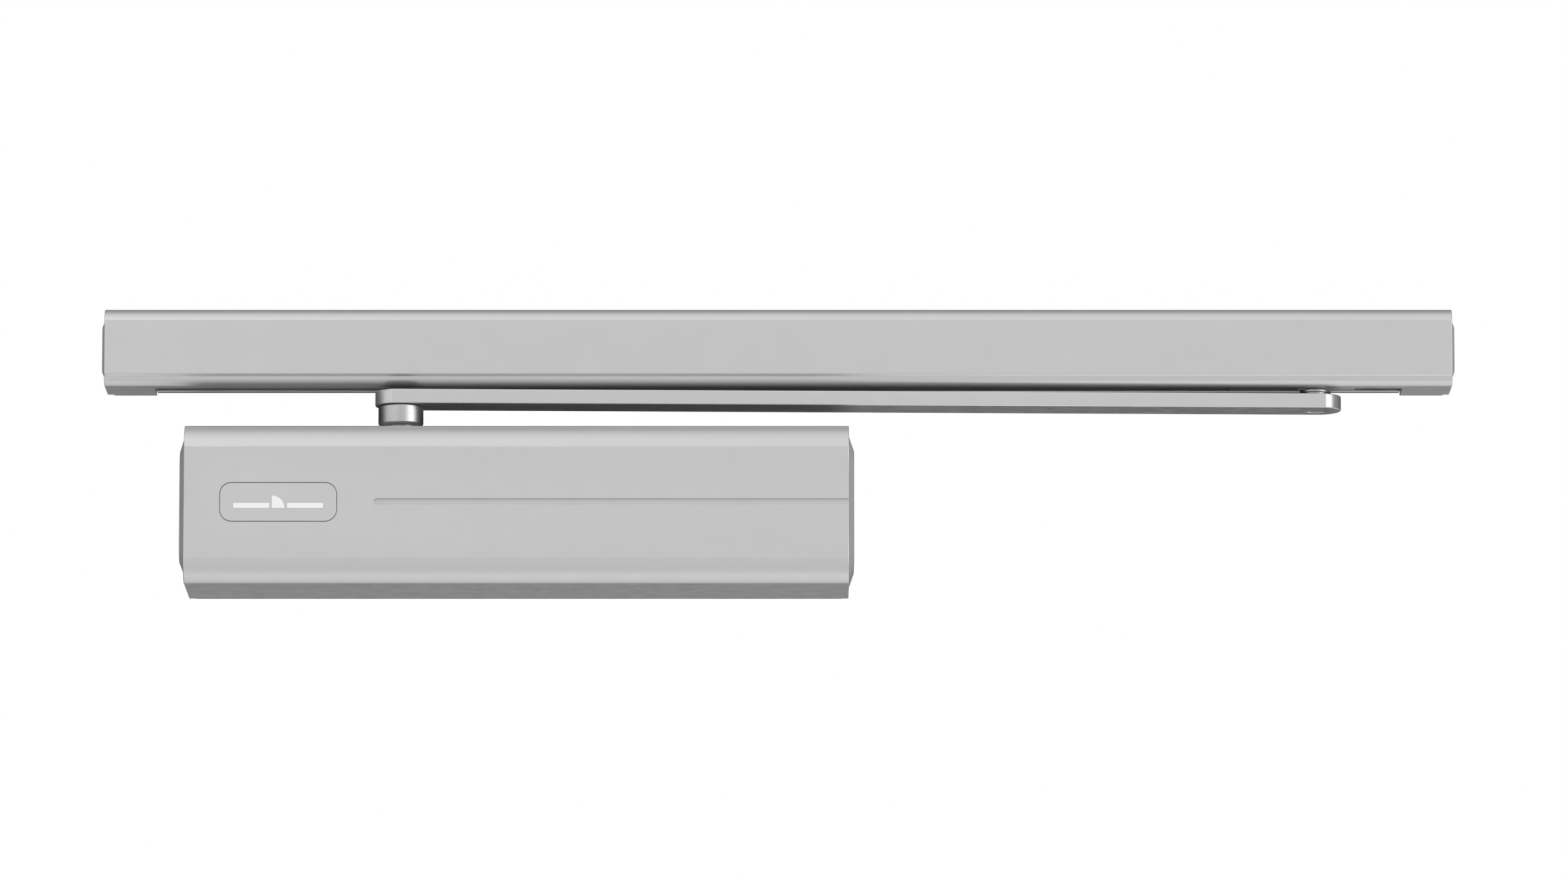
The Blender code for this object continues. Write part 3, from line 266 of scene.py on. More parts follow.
def arc(centre, radii, start, end, steps):
    """Points on a circle or an ellipse, from one angle to the other, in degrees."""
    points = []
    for step in range(steps + 1):
        angle = math.radians(start + (end - start) * step / steps)
        points.append(
            Vector((centre[0] + radii[0] * math.cos(angle), centre[1] + radii[1] * math.sin(angle)))
        )
    return points


def circle(centre, radius, sides=FINE):
    return arc(centre, (radius, radius), 0, 360 - 360 / sides, sides - 1)


def rounded_rectangle(low, high, corner, steps=8):
    points = []
    radii = (corner, corner)
    quarters = (
        (high[0] - corner, high[1] - corner),
        (low[0] + corner, high[1] - corner),
        (low[0] + corner, low[1] + corner),
        (high[0] - corner, low[1] + corner),
    )
    for quarter, centre in enumerate(quarters):
        points += arc(centre, radii, 90 * quarter, 90 * quarter + 90, steps)
    return points


def offset(points, distance):
    """Moves a closed outline to its left, so one that runs anticlockwise shrinks."""
    moved = []
    for index, point in enumerate(points):
        before = (point - points[index - 1]).normalized()
        after = (points[(index + 1) % len(points)] - point).normalized()
        left = Vector((-before.y - after.y, before.x + after.x))
        moved.append(point + left * (2 * distance / left.length_squared))
    return moved


def shrunk(points, distance):
    """Scales an outline so that each side of its box moves in by the distance."""
    low = Vector((min(p.x for p in points), min(p.y for p in points)))
    high = Vector((max(p.x for p in points), max(p.y for p in points)))
    middle = (low + high) / 2
    half = (high - low) / 2
    share = Vector((1 - distance / half.x, 1 - distance / half.y))
    return [middle + (point - middle) * share for point in points]


def soften(points, radius, steps=4, closed=True):
    """Rounds every clear corner of an outline, as far as its sides leave room."""
    softened = []
    for index, point in enumerate(points):
        inside = closed or 0 < index < len(points) - 1
        before = points[index - 1] - point
        after = points[(index + 1) % len(points)] - point
        turn = math.pi - before.angle(after, math.pi) if inside else 0
        if turn < CLEAR_CORNER:
            softened.append(point)
            continue
        reach = min(radius * math.tan(turn / 2), 0.45 * min(before.length, after.length))
        near = before.normalized() * reach
        far = after.normalized() * reach
        for step in range(steps + 1):
            share = step / steps
            softened.append(point + near * (1 - share) ** 2 + far * share**2)
    return softened


def shoulder(front, edge, depth, height, turn):
    """An ellipse from the flat top forward and down to the front flat's edge."""
    end = math.radians(turn)
    across = depth / math.sin(end)
    down = height / (1 - math.cos(end))
    points = []
    for step in range(SHOULDER_STEPS + 1):
        angle = end * step / SHOULDER_STEPS
        forward = front + depth - across * math.sin(angle)
        points.append(Vector((forward, edge + height - down * (1 - math.cos(angle)))))
    return points + [Vector((front, edge - CREASE_EDGE))]


def body_section(inset, back):
    """The closer body's section in Y and Z, moved in by an inset and closed at the back."""
    front = BODY_LOW.y + inset
    edge = BODY_HIGH.z - SHOULDER_HEIGHT
    height = SHOULDER_HEIGHT - inset
    upper = shoulder(front, edge, SHOULDER_DEPTH, height, UPPER_TURN)
    lower = shoulder(front, edge, SHOULDER_DEPTH, height, LOWER_TURN)
    lower = [Vector((point.x, -point.y)) for point in reversed(lower)]
    top = Vector((back, BODY_HIGH.z - inset))
    return [top] + upper + lower + [Vector((back, -top.y))]


def rail_section(inset, back):
    """The rail cover's section in Y and Z, from the back of its top to the back of its foot."""
    front = RAIL_LOW.y + inset
    edge = RAIL_HIGH.z - RAIL_SHOULDER_HEIGHT
    height = RAIL_SHOULDER_HEIGHT - inset
    upper = shoulder(front, edge, RAIL_SHOULDER_DEPTH, height, UPPER_TURN)
    step = []
    for index in range(STEP_STEPS + 1):
        share = index / STEP_STEPS
        ease = share * share * (3 - 2 * share)
        drop = (RAIL_FLAT_BOTTOM - RAIL_STEP_BOTTOM) * share
        step.append(Vector((front + RAIL_STEP_DEPTH * ease, RAIL_FLAT_BOTTOM - drop)))
    centre = (RAIL_LOW.y + RAIL_STEP_DEPTH + RAIL_FOOT_DEPTH, RAIL_STEP_BOTTOM)
    radii = (RAIL_FOOT_DEPTH - inset, RAIL_STEP_BOTTOM - RAIL_LOW.z - inset)
    foot = arc(centre, radii, 180, 270, FOOT_STEPS)
    top = Vector((back, RAIL_HIGH.z - inset))
    return [top] + upper + step + foot[1:] + [Vector((back, RAIL_LOW.z + inset))]


def shell_of(section, wall):
    """A closed outline of a sheet of one thickness that follows a section."""
    return soften(section(0, 0) + list(reversed(section(wall, 0))), SHELL_EDGE)


def toothed_circle(centre, root, tip):
    """A circle of teeth, each with its root, its flanks and its tip."""
    points = []
    for tooth in range(TEETH):
        for share, radius in ((0.0, root), (0.2, root), (0.42, tip), (0.58, tip), (0.8, root)):
            angle = 2 * math.pi * (tooth + share) / TEETH
            points.append(centre + radius * Vector((math.cos(angle), math.sin(angle))))
    return points


def arm_outline():
    """Two straight sides and two round ends, slightly larger than the bar is wide."""
    along = PIN - SPINDLE
    lean = math.atan2(along.y, along.x)
    reach = math.degrees(math.asin(ARM_HALF_WIDTH / ARM_END_RADIUS))
    radii = (ARM_END_RADIUS, ARM_END_RADIUS)
    far = arc((along.length, 0), radii, -reach, reach, ARM_END_STEPS)
    near = arc((0, 0), radii, 180 - reach, 180 + reach, ARM_END_STEPS)
    turn = Matrix.Rotation(lean, 2)
    return [turn @ point + SPINDLE for point in far + near]


# --- solids ---


def stood(axis, across, up, height):
    """A point of an outline at a height along an axis; heights along Y count towards the front."""
    if axis == "X":
        return Vector((height, across, up)) * MM
    if axis == "Y":
        return Vector((across, -height, up)) * MM
    return Vector((across, up, height)) * MM


def new_piece(name, work):
    bmesh.ops.remove_doubles(work, verts=work.verts, dist=WELD)
    bmesh.ops.recalc_face_normals(work, faces=work.faces)
    mesh = bpy.data.meshes.new(name)
    work.to_mesh(mesh)
    work.free()
    item = bpy.data.objects.new(name, mesh)
    bpy.context.scene.collection.objects.link(item)
    return item


def drawn(name, axis, loops, profile, holes_follow=0.0, inset=offset):
    """Draws outlines along an axis. The profile is a list of (inset, height) down its length."""
    work = bmesh.new()
    rows = []
    for distance, height in profile:
        rows.append([])
        for index, loop in enumerate(loops):
            moved = inset(loop, distance if index == 0 else distance * holes_follow)
            rows[-1].append([work.verts.new(stood(axis, p.x, p.y, height)) for p in moved])
    for row, following in zip(rows, rows[1:]):
        for here, there in zip(row, following):
            for index in range(len(here)):
                work.faces.new((here[index - 1], here[index], there[index], there[index - 1]))
    for row in (rows[0], rows[-1]):
        if len(row) == 1:
            work.faces.new(row[0])
            continue
        flat = [vert for loop in row for vert in loop]
        for triangle in tessellate_polygon([[vert.co for vert in loop] for loop in row]):
            work.faces.new([flat[index] for index in triangle])
    return new_piece(name, work)


def rounded_bar(start, end, radius, steps=4):
    """The profile of a bar between two heights with rounded end edges."""
    first = []
    for step in range(steps + 1):
        angle = math.radians(90 * step / steps)
        first.append((radius * (1 - math.sin(angle)), radius * (1 - math.cos(angle))))
    last = [(inset, end - rise) for inset, rise in reversed(first)]
    return [(inset, start + rise) for inset, rise in first] + last


def rounded_box(name, low, high, radius):
    loop = rounded_rectangle((low[1], low[2]), (high[1], high[2]), radius, steps=4)
    return drawn(name, "X", [loop], rounded_bar(low[0], high[0], radius * KEPT_OPEN))


def turned(name, axis, centre, profile, edge=0.0, sides=FINE):
    """A turned piece: (radius, height) pairs down its outer side, closed at the axis or as a ring."""
    points = [Vector(pair) for pair in profile]
    ring = profile[0][0] > 0 and profile[-1][0] > 0
    if edge:
        points = soften(points, edge, steps=3, closed=ring)
    work = bmesh.new()
    rows = []
    for point in points:
        if point.x == 0:
            rows.append([work.verts.new(stood(axis, centre[0], centre[1], point.y))] * sides)
        else:
            around = circle(centre, point.x, sides)
            rows.append([work.verts.new(stood(axis, p.x, p.y, point.y)) for p in around])
    pairs = list(zip(rows, rows[1:]))
    if ring:
        pairs.append((rows[-1], rows[0]))
    for row, following in pairs:
        for index in range(sides):
            corners_of = (row[index - 1], row[index], following[index], following[index - 1])
            unique = list(dict.fromkeys(corners_of))
            if len(unique) > 2:
                work.faces.new(unique)
    return new_piece(name, work)


def combine(item, operation, tools):
    """Cuts tools away from a piece or joins them to it, and removes the tools."""
    for tool in tools:
        step = item.modifiers.new(tool.name, "BOOLEAN")
        step.operation = operation
        step.solver = "EXACT"
        step.object = tool
    bpy.context.view_layer.update()
    evaluated = item.evaluated_get(bpy.context.evaluated_depsgraph_get())
    mesh = bpy.data.meshes.new_from_object(evaluated)
    item.modifiers.clear()
    item.data = mesh
    for tool in tools:
        bpy.data.objects.remove(tool)
    return item


def cut(item, *tools):
    return combine(item, "DIFFERENCE", tools)


def join(item, *tools):
    return combine(item, "UNION", tools)


def smooth(item):
    """Rounds the shading without tilting the flats next to a rounded edge."""
    item.data.shade_smooth()
    item.data.set_sharp_from_angle(angle=SMOOTH_ANGLE)
    step = item.modifiers.new("Normals", "WEIGHTED_NORMAL")
    step.keep_sharp = True
    step.weight = 100


def finished(item, *nodes):
    """Lets a piece stand for its CAD nodes, on their body and in their material slot."""
    smooth(item)
    item.data.materials.clear()
    item.data.materials.append(MATERIALS[SLOT_OF[nodes[0]]])
    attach(item, BODY_OF[nodes[0]])
    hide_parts(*nodes)
    return item


# --- materials ---


class Finish:
    """A material being put together from procedural nodes."""

    def __init__(self, name, metallic, roughness):
        self.material = bpy.data.materials.new(name)
        self.material.use_nodes = True
        self.tree = self.material.node_tree
        self.shader = self.tree.nodes["Principled BSDF"]
        self.shader.inputs["Metallic"].default_value = metallic
        self.shader.inputs["Roughness"].default_value = roughness
        self.place = self.add("ShaderNodeTexCoord").outputs["Object"]
        self.normal = None

    def add(self, kind):
        return self.tree.nodes.new(kind)

    def join(self, source, target):
        self.tree.links.new(source, target)

    def stretched(self, scale):
        node = self.add("ShaderNodeMapping")
        node.inputs["Scale"].default_value = scale
        self.join(self.place, node.inputs["Vector"])
        return node.outputs["Vector"]

    def noise(self, size, detail=3.0, along=(1, 1, 1)):
        """Noise whose spots are about this many millimetres across."""
        node = self.add("ShaderNodeTexNoise")
        node.inputs["Scale"].default_value = 1 / (size * MM)
        node.inputs["Detail"].default_value = detail
        self.join(self.stretched(along), node.inputs["Vector"])
        return node.outputs[0]

    def ranged(self, value, low, high, start=0.3, end=0.7):
        node = self.add("ShaderNodeMapRange")
        node.inputs["From Min"].default_value = start
        node.inputs["From Max"].default_value = end
        node.inputs["To Min"].default_value = low
        node.inputs["To Max"].default_value = high
        self.join(value, node.inputs["Value"])
        return node.outputs[0]

    def mixed(self, factor, first, second):
        node = self.add("ShaderNodeMix")
        node.data_type = "RGBA"
        self.join(factor, node.inputs[0])
        for socket, colour in ((node.inputs[6], first), (node.inputs[7], second)):
            if isinstance(colour, bpy.types.NodeSocket):
                self.join(colour, socket)
            else:
                socket.default_value = (*colour, 1)
        return node.outputs[2]

    def bump(self, height, depth):
        """Raises the surface by up to this many millimetres."""
        node = self.add("ShaderNodeBump")
        node.inputs["Strength"].default_value = 1.0
        node.inputs["Distance"].default_value = depth * MM
        self.join(height, node.inputs["Height"])
        if self.normal:
            self.join(self.normal, node.inputs["Normal"])
        self.normal = node.outputs["Normal"]
        self.join(self.normal, self.shader.inputs["Normal"])

    def edges(self, start=0.52, end=0.62):
        """How far a place stands out as an edge; the mask of the painted edge highlight."""
        node = self.add("ShaderNodeNewGeometry")
        return self.ranged(node.outputs["Pointiness"], 0, 1, start, end)

    def colour(self, source):
        self.join(source, self.shader.inputs["Base Color"])

    def rough(self, source):
        self.join(source, self.shader.inputs["Roughness"])


def grey(tone):
    return (tone, tone, tone)


def silver_lacquer(name, tone, metallic, roughness):
    """Satin silver lacquer: fine flakes, a slight orange peel and a painted highlight that lightens the edges."""
    finish = Finish(name, metallic, roughness)
    flakes = finish.noise(0.12, 2.0)
    clouds = finish.noise(45.0, 2.0)
    cool = (tone, tone, tone * 1.005)
    base = finish.mixed(finish.ranged(clouds, 0, 1), grey(tone * 0.985), cool)
    flaked = finish.mixed(finish.ranged(flakes, 0, 0.35), base, grey(tone * 1.1))
    # painted highlight: the edges are drawn lighter than the lacquer
    edge_highlighted = finish.mixed(finish.edges(), flaked, grey(tone * 1.12))
    finish.colour(edge_highlighted)
    finish.rough(finish.ranged(finish.noise(6.0), roughness - 0.03, roughness + 0.03))
    finish.bump(flakes, 0.0015)
    finish.bump(finish.noise(1.2, 1.0), 0.002)
    return finish.material


def moulded_plastic(name, tone, roughness, grain=0.25):
    """Moulded plastic with a fine spark-eroded grain and a painted highlight that lightens its edges."""
    finish = Finish(name, 0.0, roughness)
    grains = finish.noise(grain, 4.0)
    patches = finish.noise(18.0)
    dark = tuple(channel * 0.93 for channel in tone)
    light = tuple(min(1.0, channel * 1.25) for channel in tone)
    # painted highlight: the edges are drawn lighter than the plastic
    finish.colour(finish.mixed(finish.edges(), finish.mixed(patches, dark, tone), light))
    finish.rough(finish.ranged(patches, roughness - 0.06, roughness + 0.06))
    finish.bump(grains, 0.006)
    return finish.material


def worked_steel(name, tone, roughness, along, mark=0.12, mark_depth=0.002):
    """Ground, turned or drawn metal: fine marks along its working direction."""
    finish = Finish(name, 1.0, roughness)
    marks = finish.noise(mark, 5.0, along)
    dark = tuple(channel * 0.86 for channel in tone)
    light = tuple(min(1.0, channel * 1.12) for channel in tone)
    # painted highlight: the edges are drawn lighter than the metal
    edge_highlighted = finish.mixed(finish.edges(), finish.mixed(finish.ranged(marks, 0, 0.6), tone, dark), light)
    finish.colour(edge_highlighted)
    finish.rough(finish.ranged(marks, roughness - 0.05, roughness + 0.08))
    finish.bump(marks, mark_depth)
    return finish.material


def cast_metal(name, tone, roughness):
    """Die-cast metal with a pebbled skin, its tone darker in patches that follow the skin's noise."""
    finish = Finish(name, 1.0, roughness)
    skin = finish.noise(0.9, 6.0)
    dark = tuple(channel * 0.7 for channel in tone)
    finish.colour(finish.mixed(finish.ranged(skin, 0, 0.7), tone, dark))
    finish.rough(finish.ranged(skin, roughness - 0.1, roughness + 0.1))
    finish.bump(skin, 0.03)
    return finish.material


def white_print(name):
    """Thick white ink with a slightly uneven surface."""
    finish = Finish(name, 0.3, 0.42)
    layer = finish.noise(0.4, 3.0)
    finish.colour(finish.mixed(layer, grey(0.78), grey(0.84)))
    finish.rough(finish.ranged(layer, 0.36, 0.48))
    finish.bump(layer, 0.004)
    return finish.material


def black_rubber(name):
    finish = Finish(name, 0.0, 0.75)
    bloom = finish.noise(3.0, 4.0)
    finish.colour(finish.mixed(bloom, grey(0.018), grey(0.04)))
    finish.rough(finish.ranged(bloom, 0.65, 0.9))
    finish.bump(finish.noise(0.2, 3.0), 0.01)
    return finish.material


ALONG_X = (0.02, 1, 1)
AROUND_Z = (0.15, 0.15, 1)

MATERIALS = {
    "cover_silver": silver_lacquer("cover_silver", 0.54, 0.7, 0.4),
    "arm_silver": silver_lacquer("arm_silver", 0.56, 0.75, 0.3),
    "badge": silver_lacquer("badge", 0.54, 0.7, 0.42),
    "cap_grey": moulded_plastic("cap_grey", (0.4, 0.4, 0.405), 0.45),
    "housing_cast": cast_metal("housing_cast", (0.4, 0.4, 0.41), 0.5),
    "track_aluminium": worked_steel("track_aluminium", (0.48, 0.48, 0.49), 0.34, ALONG_X),
    "bright_steel": worked_steel("bright_steel", (0.5, 0.5, 0.505), 0.36, AROUND_Z),
    "dark_steel": worked_steel("dark_steel", (0.16, 0.16, 0.165), 0.42, AROUND_Z),
    "zinc_steel": worked_steel("zinc_steel", (0.44, 0.45, 0.47), 0.36, ALONG_X, 0.6, 0.004),
    "brass": worked_steel("brass", (0.6, 0.43, 0.18), 0.28, AROUND_Z),
    "nylon": moulded_plastic("nylon", (0.25, 0.25, 0.26), 0.45, 0.4),
    "rubber": black_rubber("rubber"),
}
WHITE = white_print("white_print")


# --- closer body ---


def make_body_cover():
    shell = shell_of(body_section, COVER_WALL)
    profile = rounded_bar(BODY_LOW.x, BODY_HIGH.x, COVER_EDGE)
    cover = drawn("body_cover_shell", "X", [shell], profile)
    front = -BODY_LOW.y
    flared = [(0, front - LIP), (-LIP * 0.4, front - LIP * 0.3), (-LIP, front), (-LIP, front + PAST)]
    groove_end = arc((GROOVE_LEFT + GROOVE_HALF, 0), (GROOVE_HALF, GROOVE_HALF), 90, 270, ROUND_STEPS)
    right = BODY_HIGH.x + PAST
    groove_loop = groove_end + [Vector((right, -GROOVE_HALF)), Vector((right, GROOVE_HALF))]
    floor = front - GROOVE_DEPTH
    fillet = [(inset, floor + height) for inset, height in GROOVE_FILLET]
    groove = drawn("groove", "Y", [groove_loop], fillet + flared)
    badge_low, badge_high = corners("badge_plate")
    recess_loop = rounded_rectangle(
        (badge_low.x - CAP_FIT, badge_low.z - CAP_FIT),
        (badge_high.x + CAP_FIT, badge_high.z + CAP_FIT),
        BADGE_CORNER + CAP_FIT,
    )
    recess_floor = -badge_high.y - CAP_FIT
    recess = drawn("recess", "Y", [recess_loop], [(0, recess_floor)] + flared)
    top = BODY_HIGH.z
    opening_profile = (
        (0, top - OPENING_DEPTH),
        (OPENING_RADIUS, top - OPENING_DEPTH),
        (OPENING_RADIUS, top - OPENING_FLARE),
        (OPENING_RADIUS + OPENING_FLARE / 3, top - OPENING_FLARE / 3),
        (OPENING_RADIUS + OPENING_FLARE, top),
        (OPENING_RADIUS + OPENING_FLARE, top + PAST),
        (0, top + PAST),
    )
    opening = turned("opening", "Z", SPINDLE, opening_profile)
    notches = []
    for side in (-1, 1):
        end = side * BODY_HIGH.x
        left, right = sorted((end + side * THROUGH, end - side * NOTCH[0]))
        low = (left, -NOTCH[1], BODY_LOW.z - THROUGH)
        high = (right, THROUGH, BODY_LOW.z + COVER_WALL + THROUGH)
        notches.append(rounded_box("notch", low, high, NOTCH_CORNER))
    finished(cut(cover, groove, recess, opening, *notches), "body_cover")


def make_badge():
    """The plate and a plain device on it: a doorway seen from above, with the leaf's swing."""
    low, high = corners("badge_plate")
    loop = rounded_rectangle((low.x, low.z), (high.x, high.z), BADGE_CORNER)
    profile = rounded_bar(-high.y, -low.y, BADGE_EDGE, steps=3)
    finished(drawn("badge_face", "Y", [loop], profile), "badge_plate")
    centre = (low + high) / 2
    front = -low.y
    raised = rounded_bar(front, front + DEVICE_RAISED, DEVICE_EDGE, steps=2)
    foot = centre.z - DEVICE_SWING / 2
    hinge = Vector((centre.x - DEVICE_SWING / 2, foot))
    quarter = arc(hinge, (DEVICE_SWING, DEVICE_SWING), 0, 90, ROUND_STEPS)
    loops = {"badge_swing": soften([hinge] + quarter, DEVICE_CORNER)}
    for word, near, far in (("left", -DEVICE_HALF, -DEVICE_GAP), ("right", DEVICE_GAP, DEVICE_HALF)):
        start = (centre.x + near, foot)
        end = (centre.x + far, foot + DEVICE_WALL)
        loops["badge_wall_" + word] = rounded_rectangle(start, end, DEVICE_CORNER, steps=3)
    for name, loop in loops.items():
        mark = drawn(name, "Y", [loop], raised)
        smooth(mark)
        mark.data.materials.append(WHITE)
        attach(mark, BODY_OF["badge_plate"])


def end_cap(name, node, section, side, end, sizes):
    """A moulded cap in the end of a cover, with a pad that stands out of it."""
    proud, thickness, rim, bevel = sizes
    base = [Vector((0, -thickness)), Vector((0, 0)), Vector((rim, 0))]
    pad = [Vector((rim + bevel, proud)), Vector((rim + bevel + CAP_FLAT, proud))]
    outside = soften(base + pad, CAP_EDGE, steps=5, closed=False)
    profile = [Vector((CAP_TAPER, -thickness))] + outside
    heights = [(point.x, side * (end + point.y)) for point in profile]
    cap = drawn(name, "X", [section], heights, inset=shrunk)
    finished(cap, node)


def make_cover_caps():
    section = body_section(COVER_WALL + CAP_FIT, -CAP_FIT)
    sizes = (CAP_PROUD, CAP_THICKNESS, CAP_RIM, CAP_BEVEL)
    for side, word in ((-1, "left"), (1, "right")):
        node = "cover_end_cap_" + word
        end_cap("cover_cap_" + word, node, section, side, BODY_HIGH.x, sizes)


def make_mounting_plate():
    low, high = corners("mounting_plate")
    loops = [rounded_rectangle((low.x, low.z), (high.x, high.z), PLATE_CORNER)]
    for x, z, radius in PLATE_HOLES:
        for side in (-1, 1):
            for level in (-1, 1):
                loops.append(list(reversed(circle((side * x, level * z), radius, SMALL))))
    profile = rounded_bar(-high.y, -low.y, PLATE_EDGE)
    finished(drawn("plate", "Y", loops, profile, holes_follow=0.5), "mounting_plate")


# --- main spring ---


def wound_wire(name, start, end, turns, radius):
    """A round wire wound about the spring's axis, between two places along X."""
    work = bmesh.new()
    rows = []
    travel = end - start
    steps = round(turns * SPRING_STEPS)
    for step in range(steps + 1):
        angle = 2 * math.pi * turns * step / steps
        outward = Vector((0, math.cos(angle), math.sin(angle)))
        around = Vector((0, -math.sin(angle), math.cos(angle)))
        along = Vector((travel, 0, 0)) + around * (2 * math.pi * turns * radius)
        across = along.normalized().cross(outward)
        place = Vector((start + travel * step / steps, SPINDLE.y, 0)) + outward * radius
        section = circle((0, 0), SPRING_WIRE, SPRING_SIDES)
        rows.append([work.verts.new((place + outward * p.x + across * p.y) * MM) for p in section])
    for row, following in zip(rows, rows[1:]):
        for index in range(SPRING_SIDES):
            work.faces.new((row[index - 1], row[index], following[index], following[index - 1]))
    work.faces.new(rows[0])
    work.faces.new(rows[-1])
    return new_piece(name, work)


def make_main_spring():
    """Two halves of one spring, the first at the piston's end and the second at the plate's; both stay on the
    spring's own body.
    """
    low, high = corners("main_spring")
    radius = (high.z - low.z) / 2 - SPRING_WIRE
    start = low.x + SPRING_WIRE
    end = high.x - SPRING_WIRE
    middle = (start + end) / 2
    turns = SPRING_TURNS / 2
    ends = (
        ("piston_side", start, middle, "spring_piston_slide"),
        ("plate_side", middle, end, "spring_plate_slide"),
    )
    for word, near, far, joint in ends:
        spring = wound_wire("main_spring_" + word, near, far, turns, radius)
        finished(spring, "main_spring")
        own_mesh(spring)


# --- arm ---


def make_arm_bar():
    profile = rounded_bar(ARM_LOW.z, ARM_HIGH.z, ARM_EDGE, steps=4)
    bar = drawn("arm_bar", "Z", [arm_outline()], profile)
    bottom = ARM_LOW.z
    top = ARM_HIGH.z
    rim = PIN_HOLE_RADIUS + HOLE_EDGE
    hole = (
        (0, bottom - PAST),
        (rim, bottom - PAST),
        (rim, bottom),
        (PIN_HOLE_RADIUS + HOLE_EDGE * 0.3, bottom + HOLE_EDGE * 0.3),
        (PIN_HOLE_RADIUS, bottom + HOLE_EDGE),
        (PIN_HOLE_RADIUS, top - HOLE_EDGE),
        (rim, top),
        (rim, top + PAST),
        (0, top + PAST),
    )
    shank = SCREW_RADIUS + SCREW_FIT
    head = SCREW_HEAD + SCREW_FIT
    flare = SCREW_FIT / 2
    sink = (
        (0, bottom - PAST),
        (shank, bottom - PAST),
        (shank, top - SCREW_SUNK - head + shank),
        (head, top - SCREW_SUNK),
        (head, top - flare),
        (head + flare, top),
        (head + flare, top + PAST),
        (0, top + PAST),
    )
    cut(bar, turned("pin_hole", "Z", PIN, hole), turned("countersink", "Z", SPINDLE, sink))
    finished(bar, "arm")


def make_collar():
    low, high = corners("arm_hub_collar")
    radius = (high.x - low.x) / 2
    outer = circle(SPINDLE, radius)
    bore = list(reversed(toothed_circle(SPINDLE, TOOTH_ROOT + TOOTH_FIT, TOOTH_TIP + TOOTH_FIT)))
    edge = low.z + COLLAR_CHAMFER
    profile = [(COLLAR_CHAMFER, low.z)]
    profile += [(inset, edge + height) for inset, height in COLLAR_BLEND]
    profile += [(inset, high.z - depth) for inset, depth in COLLAR_TOP]
    finished(drawn("hub_collar", "Z", [outer, bore], profile), "arm_hub_collar")


def make_spindle():
    """The spindle: its heart cam, its journals and the toothed end that carries the arm."""
    low, high = corners("cam_spindle")
    bore_floor = high.z - SPINDLE_BORE_DEPTH
    journal = (
        (0, low.z),
        (JOURNAL_RADIUS, low.z),
        (JOURNAL_RADIUS, JOURNAL_TOP),
        (SPINDLE_BORE_RADIUS, JOURNAL_TOP),
        (SPINDLE_BORE_RADIUS, bore_floor),
        (0, bore_floor),
    )
    body = turned("spindle_body", "Z", SPINDLE, journal, edge=SPINDLE_EDGE)
    teeth_loop = toothed_circle(SPINDLE, TOOTH_ROOT, TOOTH_TIP)
    hole = list(reversed(circle(SPINDLE, SPINDLE_BORE_RADIUS + BORE_FIT, SMALL)))
    profile = rounded_bar(JOURNAL_TOP - TEETH_OVERLAP, high.z, TEETH_EDGE, steps=2)
    teeth = drawn("spindle_teeth", "Z", [teeth_loop, hole], profile)
    cam_profile = rounded_bar(-CAM_HALF, CAM_HALF, SPINDLE_EDGE)
    cam = drawn("spindle_cam", "Z", [cam_outline()], cam_profile)
    finished(join(body, teeth, cam), "cam_spindle")


def cam_outline():
    """The heart cam that stays against both rollers at every turn of the spindle."""
    pitch = []
    for index in range(CAM_SAMPLES):
        turn = -math.pi + 2 * math.pi * index / CAM_SAMPLES
        pitch.append((turn, CAM_SMALL + CAM_RISE * abs(turn)))
    outline = []
    for index in range(CAM_POINTS):
        angle = -math.pi + 2 * math.pi * index / CAM_POINTS
        radius = CAM_SMALL + CAM_RISE * math.pi
        for turn, distance in pitch:
            off = angle - turn
            sideways = distance * math.sin(off)
            if math.cos(off) > 0 and abs(sideways) < CAM_REACH:
                limit = distance * math.cos(off) - math.sqrt(CAM_REACH**2 - sideways**2)
                radius = min(radius, limit)
        outline.append(SPINDLE + radius * Vector((math.cos(angle), math.sin(angle))))
    return outline


def make_arm_screw():
    low, high = corners("arm_fixing_screw")
    flare = SCREW_HEAD - SCREW_RADIUS
    profile = (
        (0, high.z),
        (SCREW_HEAD, high.z),
        (SCREW_HEAD, high.z - SCREW_RIM),
        (SCREW_RADIUS, high.z - SCREW_RIM - flare),
        (SCREW_RADIUS, low.z),
        (0, low.z),
    )
    screw = turned("arm_screw", "Z", SPINDLE, profile, edge=SCREW_EDGE)
    socket_loop = circle(SPINDLE, SOCKET_RADIUS, 6)
    socket_profile = [(0, high.z - SOCKET_DEPTH)]
    socket_profile += [(inset, high.z + rise) for inset, rise in SOCKET_RIM]
    socket = drawn("socket", "Z", [socket_loop], socket_profile)
    finished(cut(screw, socket), "arm_fixing_screw")


def make_slide_pin():
    low, high = corners("slide_pin")
    flange_bottom, flange_top = PIN_FLANGE
    disc_bottom = ARM_HIGH.z + PIN_FIT
    below, depth, height = CLIP_GROOVE
    groove_top = high.z - below
    profile = (
        (0, high.z),
        (PIN_RADIUS, high.z),
        (PIN_RADIUS, groove_top),
        (PIN_RADIUS - depth, groove_top),
        (PIN_RADIUS - depth, groove_top - height),
        (PIN_RADIUS, groove_top - height),
        (PIN_RADIUS, flange_top),
        (PIN_FLANGE_RADIUS, flange_top),
        (PIN_FLANGE_RADIUS, flange_bottom),
        (PIN_DISC_RADIUS, flange_bottom),
        (PIN_DISC_RADIUS, disc_bottom),
        (PIN_SHANK_RADIUS, disc_bottom),
        (PIN_SHANK_RADIUS, low.z),
        (0, low.z),
    )
    finished(turned("arm_slide_pin", "Z", PIN, profile, edge=PIN_EDGE), "slide_pin")


# --- guide rail ---


